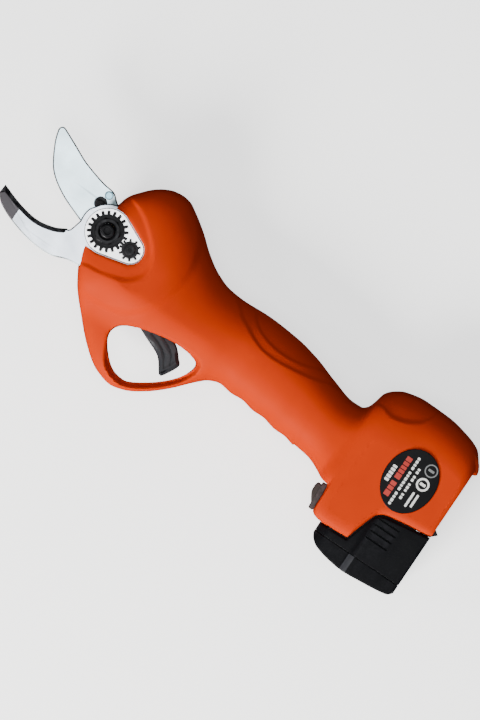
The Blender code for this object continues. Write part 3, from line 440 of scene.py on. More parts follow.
def finish(name, colour, roughness, metallic=0.0, patches=0.12, grain=1600, grain_depth=0.02, lines=None,
           scuffs=0.25, wear=None, coat=0.0, spread=0.1, speckle=0.0, gloss=0.5, painted_shadow=None):
    """A worn surface: uneven colour, fine grain, hair scratches, rubbed edges.

    patches is the strength of the colour change, grain the number of grains per metre, lines
    (direction in degrees, depth in mm) a ground or brushed finish, wear (strength, colour) on edges,
    gloss the strength of the mirror-like part of a plastic, and the last one (centre, radius, colour)
    a painted shadow: a dark patch that fades out from its centre.
    """
    made, tree, shader, coords = new_material(name)
    dark = tuple(c * (1 - patches) for c in colour)
    light = tuple(min(1.0, c * (1 + patches)) for c in colour)
    cloud = noise_at(tree, coords, 38, 5.0, distortion=0.4)
    paint = blend_colour(tree, ramp(tree, cloud, 0.3, 0.7), dark, light)
    if speckle:
        flakes = ramp(tree, noise_at(tree, coords, 2600, 1.0), 0.56, 0.7, 0.0, speckle)
        paint = blend_colour(tree, flakes, paint, tuple(min(1.0, c * 1.8 + 0.02) for c in colour))
    if wear:
        bend = new_node(tree, "ShaderNodeNewGeometry", {}).outputs["Pointiness"]
        rubbed = ramp(tree, bend, 0.515, 0.56, 0.0, wear[0])
        broken = ramp(tree, noise_at(tree, coords, 420, 4.0), 0.35, 0.65)
        worn = new_node(tree, "ShaderNodeMath", {0: rubbed, 1: broken}, operation="MULTIPLY").outputs[0]
        paint = blend_colour(tree, worn, paint, wear[1])
    # Painted shadow: the colour darkens towards a centre point.
    if painted_shadow:
        middle, reach, shadow_colour = painted_shadow
        ends = {0: coords, 1: scene_point(middle)}
        away = new_node(tree, "ShaderNodeVectorMath", ends, operation="DISTANCE").outputs["Value"]
        paint = blend_colour(tree, ramp(tree, away, 0.35 * reach * MM, reach * MM, 0.93, 0.0), paint, shadow_colour)
    haze = ramp(tree, noise_at(tree, coords, 95, 6.0), 0.25, 0.75, roughness - spread, roughness + spread)
    hair = noise_at(tree, coords, 260, 2.0, (0.06, 1.6, 1.0), turn=27, distortion=1.2)
    added = {0: haze, 1: ramp(tree, hair, 0.66, 0.74, 0.0, scuffs)}
    rough = new_node(tree, "ShaderNodeMath", added, operation="ADD", use_clamp=True).outputs[0]
    normal = relief(tree, noise_at(tree, coords, grain, 2.0), grain_depth)
    if lines:
        brushed = noise_at(tree, coords, 3800, 2.0, (0.03, 1.0, 0.4), turn=-lines[0])
        normal = relief(tree, brushed, lines[1], Normal=normal)
    connect(tree, shader, {
        "Base Color": paint, "Metallic": metallic, "Roughness": rough, "Specular IOR Level": gloss,
        "Coat Weight": coat, "Coat Roughness": 0.12, "Normal": normal})
    return made


# Painted shadow: a dark patch on both blades where they go into the casing.
PAINTED_SHADOW_AT_PIVOT = ((-4.4, 15.2, 14), 6.5, (0.012, 0.020, 0.022))
ORANGE = finish("casing_orange", (0.50, 0.031, 0.0013), 0.50, patches=0.05, grain=1500, grain_depth=0.03,
                scuffs=0.12, wear=(0.3, (0.60, 0.07, 0.01)), spread=0.05, gloss=0.025)
BLACK = finish("battery_black", (0.0040, 0.0042, 0.0052), 0.42, grain=1900, grain_depth=0.05, scuffs=0.2,
               wear=(0.4, (0.02, 0.02, 0.024)), speckle=0.25, gloss=0.045)
TRIGGER_BLACK = finish("trigger_black", (0.0250, 0.0262, 0.0300), 0.34, patches=0.08, grain=1700,
                       grain_depth=0.012, scuffs=0.1, spread=0.04, gloss=0.11)
ROCKER_GREY = finish("rocker_grey", (0.037, 0.029, 0.027), 0.45, grain=1900, grain_depth=0.04,
                     wear=(0.4, (0.10, 0.09, 0.10)), gloss=0.12)
# Painted highlight: a lighter black for the ridge down the battery foot's sides, with real rubbed wear on its
# edges as well.
RIDGE_PAINTED_HIGHLIGHT = finish("battery_ridge_painted_highlight", (0.030, 0.031, 0.036), 0.36, grain=1900, grain_depth=0.03,
                    wear=(0.5, (0.05, 0.05, 0.055)), speckle=0.25, gloss=0.12)
DOWEL = finish("dowel_blued_steel", (0.33, 0.58, 0.70), 0.30, 0.8, grain=2400, grain_depth=0.004,
               lines=(0, 0.006))
BLADE = finish("blade_ground_steel", (0.74, 0.91, 1.0), 0.30, 0.85, patches=0.03, grain=2600,
               grain_depth=0.003, lines=(70, 0.006), scuffs=0.12, spread=0.06, painted_shadow=PAINTED_SHADOW_AT_PIVOT)
HOOK = finish("hook_ground_steel", (0.79, 0.85, 0.94), 0.32, 0.85, patches=0.05, grain=2600,
              grain_depth=0.004, lines=(-18, 0.007), scuffs=0.14, spread=0.07, painted_shadow=PAINTED_SHADOW_AT_PIVOT)
# Painted dark reflection: the blades' slanted ground rims are steel painted dark grey.
EDGE_PAINTED_REFLECTION = finish("blade_edge_painted_dark_reflection", (0.085, 0.098, 0.105), 0.34, 0.8, grain=2600, grain_depth=0.006,
              lines=(70, 0.01))
# Painted dark reflection: the hook's inner bevel is steel painted near-black.
BEVEL_PAINTED_REFLECTION = finish("hook_bevel_painted_reflection", (0.010, 0.010, 0.012), 0.38, 0.3, grain=2000, grain_depth=0.008,
                    lines=(60, 0.02), wear=(0.6, (0.3, 0.3, 0.32)), gloss=0.2)
# Painted dark reflection: the hook's ground tip facet is steel painted dark grey.
TIP_PAINTED_REFLECTION = finish("hook_tip_painted_reflection", (0.075, 0.070, 0.078), 0.42, 0.3, grain=2200, grain_depth=0.01,
                  lines=(95, 0.02), wear=(0.5, (0.3, 0.3, 0.32)), gloss=0.2)
PLATE = finish("plate_satin_steel", (0.97, 0.97, 0.975), 0.27, 0.85, patches=0.02, grain=2400,
               grain_depth=0.004, lines=(-6, 0.005), scuffs=0.08, spread=0.06)
OXIDE = finish("black_oxide", (0.0058, 0.0058, 0.0068), 0.36, 0.3, grain=2300, grain_depth=0.015,
               wear=(0.5, (0.06, 0.06, 0.065)), speckle=0.2, gloss=0.12)
GEAR = finish("gear_steel_oiled", (0.34, 0.34, 0.35), 0.38, 1.0, grain=2400, lines=(0, 0.01),
              wear=(0.5, (0.75, 0.75, 0.76)))
NICKEL = finish("motor_nickel", (0.56, 0.57, 0.59), 0.30, 1.0, patches=0.06, grain=1800, grain_depth=0.006,
                lines=(90, 0.006), wear=(0.3, (0.85, 0.85, 0.86)))
COPPER = finish("winding_copper", (0.72, 0.27, 0.10), 0.36, 1.0, grain=1300, grain_depth=0.12,
                lines=(0, 0.10))
MAGNET = finish("magnet_plated", (0.11, 0.11, 0.12), 0.45, 0.8, grain=2600)
BOARD = finish("board_solder_mask", (0.016, 0.15, 0.065), 0.35, grain=900, grain_depth=0.03, coat=0.4,
               speckle=0.3)
WRAP = finish("cell_shrink_wrap", (0.045, 0.20, 0.42), 0.34, grain=500, grain_depth=0.04, coat=0.3)
BRONZE = finish("bush_bronze", (0.60, 0.37, 0.15), 0.42, 1.0, grain=3000, grain_depth=0.03)
FILM = finish("label_film", (0.0042, 0.0042, 0.005), 0.32, patches=0.2, grain=1200, grain_depth=0.012,
              scuffs=0.15, spread=0.05, gloss=0.05)
WHITE_INK, RED_INK, GREY_INK = (
    finish(f"label_{name}_ink", colour, 0.45, patches=patches, grain=2800, grain_depth=0.01, scuffs=0.2,
           gloss=0.3)
    for name, colour, patches in (("white", (0.75, 0.75, 0.74), 0.08), ("red", (0.42, 0.022, 0.012), 0.1),
                                  ("grey", (0.16, 0.165, 0.17), 0.1)))

SLOT_FINISH = {
    "casing": ORANGE, "black_plastic": BLACK, "blade_steel": BLADE, "plate_steel": PLATE,
    "black_steel": OXIDE, "gear_steel": GEAR, "motor_steel": NICKEL, "copper": COPPER, "magnet": MAGNET,
    "board_green": BOARD, "cell_wrap": WRAP, "bronze": BRONZE, "label_black": FILM}


def finish_frame():
    """Every node of the frame gets the finish of its slot."""
    for name, thing in frame["nodes"].items():
        thing.data.materials.clear()
        thing.data.materials.append(SLOT_FINISH[SLOT_OF[name]])


# ------------ casing

def centre_line(x):
    """Height of the widest part of the section, smoothed along the casing."""
    near = x + np.linspace(-6, 6, 9)
    return float(np.mean(top_edge(near) + bottom_edge(near)) / 2)


def side_depth(x, y):
    """Half thickness of the plain rounded form at points of the side view that share one x."""
    top, bottom, centre = float(top_edge(x)), float(bottom_edge(x)), centre_line(x)
    upper = y > centre
    t = np.where(upper, (y - centre) / (top - centre), (centre - y) / (centre - bottom))
    power = np.where(upper, curve(UPPER_ROUNDNESS, x), curve(LOWER_ROUNDNESS, x))
    depth = half_width(np.full_like(y, x), y) * np.maximum(0, 1 - np.minimum(t, 1) ** power) ** (1 / power)
    return np.minimum(depth, HALF_THICKNESS)


def even_section(x, count):
    """Half of the section at x as evenly spaced points, from its top edge round the side to its foot."""
    top, bottom = float(top_edge(x)), float(bottom_edge(x))
    y = (top + bottom) / 2 + (top - bottom) / 2 * np.sin(np.linspace(math.pi / 2, -math.pi / 2, 700))
    z = side_depth(x, y)
    length = np.concatenate(([0], np.cumsum(np.hypot(np.diff(y), np.diff(z)))))
    even = np.linspace(0, length[-1], count)
    return np.interp(even, length, y), np.interp(even, length, z)


def styling(x, y):
    """How far the sides fall below the plain rounded form."""
    dish = distance_outside(smooth_line(DISH, 4, True), x, y)
    fall = DISH_DEPTH * smoothstep(-0.2, 2.2, -dish)
    bulge = distance_outside(smooth_line(BULGE, 4, True), x, y)
    fall += BULGE_DEPTH * smoothstep(-0.4, 4.0, bulge) * np.exp(-np.maximum(bulge, 0) / BULGE_FADE)
    for outline, depth in ((OUTER_PAD, PAD_DEPTH), (INNER_PAD, PAD_DEPTH), (SHOULDER, SHOULDER_DEPTH)):
        gap = distance_outside(smooth_line(outline, 4, True), x, y)
        fall += depth * smoothstep(-0.2, 1.5, -gap)
    return fall


def window_flare(x, y):
    """How far the window's edge opens out: 0 on its upper front side, 1 on its lower and tail sides."""
    return smoothstep(-9, 7, 0.5 * (x - WINDOW_CENTRE[0]) - 0.87 * (y - WINDOW_CENTRE[1]))


def window_outline(share):
    """The finger window at a share of its draft."""
    outline = smooth_line(WINDOW, 6, True)[::-1]
    return grow(outline, [share * (0.4 + 1.0 * float(window_flare(*p))) for p in outline])


def rounding(distance, radius):
    """Fall of a quarter-round edge at a distance from the edge."""
    inward = np.clip(radius - distance, 0, radius)
    return radius - np.sqrt(radius ** 2 - inward ** 2)


def skin(name, side):
    """The outside of one casing half, with its styling, the window's rounded lip and the plate's recess."""
    stations = np.concatenate([np.arange(*span) for span in STATIONS])
    y, z = np.array([even_section(x, SECTION_POINTS) for x in stations]).transpose(1, 0, 2)
    x = np.repeat(stations[:, None], SECTION_POINTS, axis=1)
    fall = styling(x, y) * smoothstep(2.0, 9.0, z)
    flare = window_flare(x, y)
    lip = 0.8 + 1.6 * flare
    near = np.clip(1 - distance_outside(window_outline(1), x, y) / lip, 0, 1)
    fall += (1.0 + 1.1 * flare) * lip * near ** 1.6
    if side > 0:
        fall += rounding(distance_outside(grow(plate_outline(), RECESS_GAP), x, y), RECESS_LIP)
    z = np.maximum(z - fall, SPLIT) * side
    return solid(name, [list(zip(*ring)) for ring in zip(x, y, z)])


def inner_edge(line, x, sign):
    reach = [(u, math.sqrt(1 - u * u)) for u in (-1, -0.7, 0, 0.7, 1)]
    values = [sign * float(line(x + WALL * u)) + WALL * depth for u, depth in reach]
    return sign * max(values)


def cavity():
    """The hollow of the closed casing, less its screw bosses, battery bay walls and head collar."""
    rings = []
    for x in np.concatenate((np.arange(-3.2, 186, 3.05), np.arange(188, 236, 5.2))):
        top = inner_edge(top_edge, x, -1)
        bottom = max(inner_edge(bottom_edge, x, 1), float(curve(LOOP_CEILING, x)))
        y = np.linspace(top, bottom, 22)
        z = np.maximum(side_depth(x, y) - WALL - MOST_STYLING, 0.4)
        half = list(zip(y, z))
        rings.append([(x, b, c) for b, c in half] + [(x, b, -c) for b, c in half[::-1]])
    hollow = solid("cavity", rings)
    walls = [(185.2, -75), (187.4, -75), (187.4, -4.6), (240, -4.6), (240, -2.6), (185.2, -2.6)]
    solids = [prism("bay_walls", walls, (-30, 30)),
              prism("head_collar", grow(plate_outline(), 3.6), (FIXED_BLADE_Z[1] + GAP, 30))]
    solids += [prism(f"boss_{i}", circle(4.6, 16, c), (-30, 30)) for i, c in enumerate(CASING_SCREWS)]
    return carve(hollow, solids)


def shared_openings():
    return [solid("window_cut", [at_height(window_outline(share), z) for z, share in WINDOW_DRAFT]),
            block("trigger_slot", (41.6, -40, -6.1), (74.5, -25, 6.1)),
            block("trigger_root", (41.6, -31, -9.2), (50.6, -20, 9.2)),
            block("battery_bay", (187.9, -90, -21), (230.2, -30, 21)),
            block("latch_channel", (229, -90, -7.2), (235.4, -30, 7.2)),
            block("latch_notch", (234, -60, -7.2), (245, -33.8, 7.2)),
            switch_block("switch_hole", (-6, -7.1, -7.3), (12, 7.1, 7.3))]


def rear_lip():
    outline = [(232, 1), (238.9, 1.2), (240.1, 1.9), (240.4, 2.9), (239.8, 5), (238.4, 7.4), (236.5, 9.6),
               (232, 12)]
    return rounded_slab("rear_lip", outline, 19, 2.5)


def casing():
    for side, node in ((1, "left_casing"), (-1, "right_casing")):
        shell = skin(node + "_shell", side)
        carve(shell, [rear_lip()], "UNION")
        low, high = (SPLIT, 60) if side > 0 else (-60, -SPLIT)
        carve(shell, [block("space", (-100, -100, low), (300, 100, high))], "INTERSECT")
        cutters = [cavity()] + shared_openings()
        if side > 0:
            reach = PLATE_RADII[0] + RECESS_GAP
            cutters += [block("blade_slot", (-20, -24.3, 6.2), (5, 18.4, 17.5)),
                        block("bolt_room", (-20, -9, -5), (5, 9, 7)),
                        prism("plate_recess", grow(plate_outline(), RECESS_GAP), (16.8, 40)),
                        block("recess_front", (-30, -reach, 16.9), (0, reach, 40))]
        else:
            for i, centre in enumerate(CASING_SCREWS):
                cutters += [prism(f"sink_{i}", circle(3.3, 28, centre), (-40, SCREW_SEAT_Z)),
                            prism(f"pilot_{i}", circle(1.8, 16, centre), (-12, 9))]
        carve(shell, cutters)
        stands_for(shell, ORANGE, node, sharp=38)


def socket_screw(name, centre, z_face, side, head, shank, length, sides=6):
    """A screw along Z: z_face is its outer face, side the way that it faces, head (radius, height)."""
    profile = [(z_face - side * length, shank), (z_face - side * head[1], shank),
               (z_face - side * head[1], head[0]), (z_face - side * (SCREW_DOME + 0.1), head[0]),
               (z_face - side * 0.12, head[0] - SCREW_DOME), (z_face, head[0] * 0.55)]
    screw = turned(name, centre, profile)
    near, far = sorted((z_face - side * SOCKET_DEPTH, z_face + side))
    if sides == 6:
        return carve(screw, [prism("socket", circle(head[0] * 0.48, 6, centre, 15), (near, far))])
    low, high = (-head[0] * 0.62, -0.38, near), (head[0] * 0.62, 0.38, far)
    return carve(screw, [block(f"slot_{turn}", low, high, centre, turn) for turn in (20, 110)])


def casing_screws():
    for i, centre in enumerate(CASING_SCREWS):
        screw = socket_screw(f"cross_screw_{i + 1}", centre, SCREW_SEAT_Z - GAP - 2, -1, (2.9, 2.0), 1.5,
                             19.3, sides=4)
        stands_for(screw, OXIDE, f"casing_screw_{i + 1}")


# ------------ cutting head

def ground_plate(name, outline, levels, low, high):
    """A plate whose rims are ground: low and high give (inset, height) of the rim at each point."""
    rings = [at_height(grow(outline, [-inset for inset, _ in low]), levels[0]),
             [(p[0], p[1], levels[0] + drop) for p, (_, drop) in zip(outline, low)],
             [(p[0], p[1], levels[1] - drop) for p, (_, drop) in zip(outline, high)],
             at_height(grow(outline, [-inset for inset, _ in high]), levels[1])]
    return solid(name, rings)


def moving_blade():
    edge = smooth_line([(-53.6, 31.2), (-51.0, 23.6), (-43.5, 11.2), (-32, 3.0), (-16.3, -3.3)], 12)
    spine = smooth_line([(-5.5, 16.7), (-9.5, 19.7), (-17, 20.8), (-30.5, 24.7), (-41, 29.5), (-50, 33.6)], 8)
    hub = arc((0, 0), 14.0, 195, 457, 44)
    tip = smooth_line([(-50, 33.6), (-51.6, 33.9), (-53.1, 33.0), (-53.6, 31.2)], 4)[1:-1]
    outline = edge + hub + spine + tip
    z0, z1 = MOVING_BLADE_Z
    low = []
    for i in range(len(outline)):
        share = min(1.0, i / 6, max(0.0, (len(edge) - 1 - i) / 6)) if i < len(edge) else 0.0
        low.append((0.3 + 4.2 * share, 0.25 + (z1 - z0 - 0.65) * share))
    high = [(0.75, 0.45)] * len(outline)
    blade = ground_plate("moving_blade_ground", outline, MOVING_BLADE_Z, low, high)
    bores = [prism("bush_bore", circle(6.3, 48), (0, 20))]
    sink = [(0, 1.8), (z1 - 1.9, 1.8), (z1 - 0.1, 3.7), (z1 + 1, 3.7)]
    bores += [turned(f"sink_{i}", centre, sink) for i, centre in enumerate(DRIVE_SCREWS)]
    carve(blade, bores)
    # The slanted rims of the upper face get the painted dark reflection.
    finish_faces(blade, (BLADE, EDGE_PAINTED_REFLECTION), lambda centre, normal: int(slanted(normal) and centre.z > 12))
    stands_for(blade, None, "moving_blade", sharp=14)
    dowel = turned("blade_dowel", (-10.5, 16.7), [(12.6, 2.4), (13.08, 2.4), (13.2, 2.15), (13.22, 1.2)])
    place(dowel, DOWEL, BODY_OF["moving_blade"])
    profile = [(7.1, 1.5), (z1 - 1.8, 1.5), (z1 - 0.15, 3.5), (z1 + 0.05, 3.35)]
    for i, centre in enumerate(DRIVE_SCREWS):
        screw = turned(f"drive_socket_screw_{i + 1}", centre, profile)
        carve(screw, [prism("socket", circle(1.5, 6, centre, 10), (z1 - 1.2, z1 + 1))])
        stands_for(screw, OXIDE, f"drive_screw_{i + 1}")


def plate_bores():
    """The holes that the fixed blade and the bright plate share: for the pivot bolt and the lock screw."""
    return [prism("bolt_bore", circle(BOLT_RADIUS + GAP, 40), (5, 20)),
            prism("lock_bore", circle(LOCK_BORE, 24, LOCK_CENTRE), (5, 20))]


def fixed_blade():
    inner = smooth_line([(-60.5, -9.8), (-48, -14), (-36, -16), (-26, -14.3), (-19.5, -11)], 10)
    hub = [arc((0, 0), HOOK_HUB - HUB_RELIEF * float(smoothstep(166, 146, angle)), angle, angle, 1)[0]
           for angle in np.linspace(192, 60, 49)]
    tail = [(24, 12.5), (30, 11.5), (31.8, 9), (31.8, -13), (30, -16), (24, -18.5), (6, -23)]
    back = [(2, -23.6), (-9.5, -24.9), (-19.5, -28.1), (-33, -27.6), (-47, -24.1), (-56.5, -19.8),
            (-61, -15.4)]
    heel = smooth_line([(-19.5, -11), (-17.6, -10.4), hub[0]], 3)[1:-1]
    outline = inner + heel + hub + tail + smooth_line(back, 8)
    total = len(outline)
    z0, z1 = FIXED_BLADE_Z
    rim = []
    for k in range(total):
        share = min(1.0, max(0.0, (len(inner) + 1 - k) / 5))
        rim.append((0.7 + 1.85 * share, 0.42 + (z1 - z0 - 0.87) * share))
    blade = ground_plate("hook_blade_ground", outline[::-1], FIXED_BLADE_Z, [(0.25, 0.2)] * total, rim[::-1])
    carve(blade, plate_bores())
    shape_tip(blade, z0)
    stands_for(blade, None, "fixed_blade", sharp=14)


def shape_tip(blade, z0):
    """Grind the end of the hook down to its tip, and paint its bevel near-black, its tip facet dark grey and its
    slanted rims dark, as painted dark reflections.
    """
    facet_x = ORIGIN.x + TIP_FACET_X * MM
    form = bmesh.new()
    form.from_mesh(blade.data)
    everything = form.verts[:] + form.edges[:] + form.faces[:]
    bmesh.ops.bisect_plane(form, geom=everything, plane_co=(facet_x, 0, 0), plane_no=(1, 0, 0), dist=1e-7)
    middle = ORIGIN.z + (z0 + 1.2) * MM
    for vert in form.verts:
        if vert.co.x < facet_x and vert.co.z > middle:
            vert.co.z -= min(TIP_SLOPE * (facet_x - vert.co.x), vert.co.z - middle)
    form.normal_update()
    form.to_mesh(blade.data)
    form.free()

    def choose(centre, normal):
        # The bevel, the tip facet and the slanted rims get painted dark reflections.
        if 0.05 < normal.z < 0.93 and normal.y > 0.15 and centre.x < -15:
            return 1
        if centre.x < TIP_FACET_X and centre.z > z0 + 0.3:
            return 2
        return 3 if slanted(normal) and centre.z > z0 + 1 else 0

    finish_faces(blade, (HOOK, BEVEL_PAINTED_REFLECTION, TIP_PAINTED_REFLECTION, EDGE_PAINTED_REFLECTION), choose)


def head_plate():
    outline = plate_outline(72)
    rim = [(0.45, 0.4)] * len(outline)
    plate = ground_plate("bright_plate", outline, HEAD_PLATE_Z, rim, rim)
    carve(plate, plate_bores())
    stands_for(plate, PLATE, "head_plate")


def lock_gears():
    heights = (0.9, 1.15)
    direction = math.degrees(math.atan2(LOCK_CENTRE[1], LOCK_CENTRE[0]))
    low, high = LOCK_GEAR_Z
    teeth = gear_outline(NUT_TEETH, LOCK_MODULE * NUT_TEETH / 2, heights, (1.3, 1.65), direction)
    nut = soften(prism("gear_nut", teeth, LOCK_GEAR_Z), 0.14)
    hexagon = prism("hexagon", circle(7.6, 6, (0, 0), 12), (low + 1, HEX_Z))
    crown = [(low, 9), (HEX_Z - 1.3, 8.2), (HEX_Z - 0.3, 7.0), (HEX_Z + 0.4, 6.0)]
    carve(hexagon, [turned("crown", (0, 0), crown, 64)], "INTERSECT")
    groove = solid("groove", [at_height(circle(r, 64), z) for z, r in (
        (high - 0.7, 8.0), (high + 0.5, 8.0), (high + 0.5, 8.9), (high - 0.7, 8.9))], closed=True)
    carve(nut, [groove])
    carve(nut, [hexagon], "UNION")
    hole = BOLT_RADIUS + GAP
    bore = [(low - 1, hole), (HEX_Z - 0.9, hole), (HEX_Z + 0.3, hole + 1.2)]
    carve(nut, [turned("bore", (0, 0), bore, 48)])
    stands_for(nut, OXIDE, "lock_nut")

    start = direction + 180 / PINION_TEETH
    small = gear_outline(PINION_TEETH, LOCK_MODULE * PINION_TEETH / 2, heights, (1.15, 1.3), start,
                         LOCK_CENTRE)
    pinion = soften(prism("gear_stop", small, LOCK_GEAR_Z), 0.14)
    carve(pinion, [prism("bore", circle(LOCK_BORE, 24, LOCK_CENTRE), (low - 1, high + 1))])
    stands_for(pinion, OXIDE, "lock_pinion")
    screw = socket_screw("stop_screw", LOCK_CENTRE, high + 2.4, 1, (3.0, 2.1), 1.5, 10.9)
    washer = [(high + 0.3, 4.5), (high + 0.7, 4.7), (high + 0.95, 4.4), (high + 1.0, 3.5)]
    carve(screw, [turned("washer", LOCK_CENTRE, washer, 48)], "UNION")
    stands_for(screw, OXIDE, "lock_screw")

    profile = [(BOLT_HEAD_Z[1] - 0.2, BOLT_RADIUS), (BOLT_END_Z - 0.9, BOLT_RADIUS),
               (BOLT_END_Z - 0.25, BOLT_RADIUS - 0.4), (BOLT_END_Z, BOLT_RADIUS - 0.9)]
    bolt = turned("bolt_with_socket", (0, 0), profile, 48)
    carve(bolt, [prism("bolt_head", circle(7.3, 6), BOLT_HEAD_Z)], "UNION")
    dimple = [(BOLT_END_Z - 0.9, 0.6), (BOLT_END_Z - 0.6, 2.1), (BOLT_END_Z + 1, 2.6)]
    carve(bolt, [turned("dimple", (0, 0), dimple)])
    stands_for(bolt, OXIDE, "pivot_bolt")


# ------------ controls

def trigger():
    front = smooth_line([(43.4, -33.6), (49.5, -36.3), (59.5, -40.8), (64.5, -46.8), (66, -48.9)], 5)
    back = smooth_line([(67.6, -49.1), (69.5, -46.3), (72.8, -39.3), (70.5, -35.8), (66.5, -31.5),
                        (62, -28.6)], 4)
    outline = arc(TRIGGER_PIVOT, 2.9, 80, 205, 12) + front + back
    half = 5.5
    rim = []
    for p in outline:
        share = smoothstep(47, 56, p[0]) * (1 if p[1] < -33 else 0.3)
        rim.append((0.5 + 1.5 * float(share), 0.5 + 1.0 * float(share)))
    lever = ground_plate("trigger_lever_faceted", outline, (-half, half), rim, rim)
    cuts = [prism("pin_bore", circle(1.7, 24, TRIGGER_PIVOT), (-12, 12)),
            block("magnet_pocket", (56.2, -30.6, -2.3), (60.8, -25, 2.3))]
    ridge = smooth_line([(50, -33.2), (58, -36), (63.5, -39.8), (66.6, -45.4)], 5)
    for side in (-1, 1):
        for k, shift in enumerate((0.0, 3.6)):
            line = [(x + 0.55 * shift, y + 0.9 * shift) for x, y in ridge]
            band = line + [(x + 0.45, y + 0.75) for x, y in reversed(line)]
            cuts.append(prism(f"crease_{side}_{k}", band, sorted((side * (half - 0.55), side * (half + 2)))))
        facet = [(61.6, -38.1), (69.6, -37.9), (66.6, -45.6)]
        cuts.append(solid(f"facet_{side}", [
            [(x, y, side * (half - 0.9 + 0.11 * (y + 45.6))) for x, y in facet],
            [(x, y, side * (half + 3)) for x, y in facet]]))
    carve(lever, cuts)
    soften(lever, 0.15)
    stands_for(lever, TRIGGER_BLACK, "trigger")


def switch_block(name, low, high):
    return block(name, low, high, SWITCH_CENTRE, SWITCH_TILT)


def power_switch():
    outline = smooth_line([(-4.9, 6.8), (-5.8, 5.2), (-6.0, 2.2), (-5.4, -0.4), (-2.1, -6.4)], 4)
    outline += [(0.4, -6.0), (3.0, -2), (3.0, 2), (0.4, 6.0)]
    outline = turn_about(SWITCH_CENTRE, SWITCH_TILT, outline)
    rocker = rounded_slab("rocker_key", outline, 6.3, 0.9, steps=4)
    ribs = []
    for i in range(4):
        y, reach = -1.2 - 1.35 * i, 4.95 - 0.79 * i
        ribs.append(switch_block(f"rib_{i}", (-8, y - 0.3, -4.2), (-reach + 0.35, y + 0.3, 4.2)))
    dot = switch_block("dot", (-8, 3.2, -1.6), (-5.45, 4.2, 1.6))
    carve(rocker, ribs + [dot])
    stands_for(rocker, ROCKER_GREY, "power_rocker")
    ring = switch_block("switch_bezel", (-2.9, -8.0, -8.6), (-GAP, 8.1, 8.6))
    soften(ring, 0.6, 3)
    carve(ring, [switch_block("body", (-GAP - 0.2, -6.8, -6.9), (7.2, 6.8, 6.9))], "UNION")
    carve(ring, [switch_block("well", (-4, -7.0, -6.6), (6.2, 7.55, 6.6))])
    stands_for(ring, ROCKER_GREY, "switch_housing")


# ------------ battery and label

CASE_TOP = [(184.6, -66.4), (201.1, -65.8), (205.9, -50.3), (207.7, -46.5), (211.8, -44.2), (238, -40.3)]
BASE_FOOT = [(184.6, -73.2), (186.0, -75.6), (189.2, -78.3), (200.5, -81.0), (208, -81.7), (219, -80.9),
             (231, -79.6), (235.8, -78.5), (238, -76.3)]


def battery_half(x):
    """Half thickness: full at the back, a step down at the grip, and a nose that turns in."""
    step = 2.1 * float(smoothstep(209.5, 205.2, x)) + 1.2 * float(smoothstep(205, 186, x))
    nose = 4.0 * (max(0.0, 191.5 - x) / 6.9) ** 2
    tail = 0.9 * (max(0.0, x - 236.6) / 1.4) ** 2
    return BATTERY_HALF - step - nose - tail


def battery_shell(name, low, high, low_edge, high_edge):
    """A body with a rounded rectangle for its section at each x; the edges are their radii."""
    corners = [p[0] for p in CASE_TOP + BASE_FOOT]
    rings = []
    for x in np.unique(np.round(np.concatenate((np.arange(184.6, 238, 0.9), corners)), 2)):
        wide, bottom, top = battery_half(x), low(x) + low_edge, high(x) - high_edge
        ring = []
        for y, z, radius, turn in ((top, 1, high_edge, 0), (top, -1, high_edge, 90),
                                   (bottom, -1, low_edge, 180), (bottom, 1, low_edge, 270)):
            ring += arc((z * (wide - radius), y), radius, turn, turn + 90, 5)
        rings.append([(x, y, z) for z, y in ring])
    return solid(name, rings)


def on_highlight_ridge(centre, _normal):
    """The ridge down each side of the foot, where the full thickness begins: it gets a lighter painted highlight.
    """
    return int(206.1 < centre.x < 209.6 and abs(centre.z) > BATTERY_HALF - 2.2 and centre.y < BATTERY_SPLIT_Y)


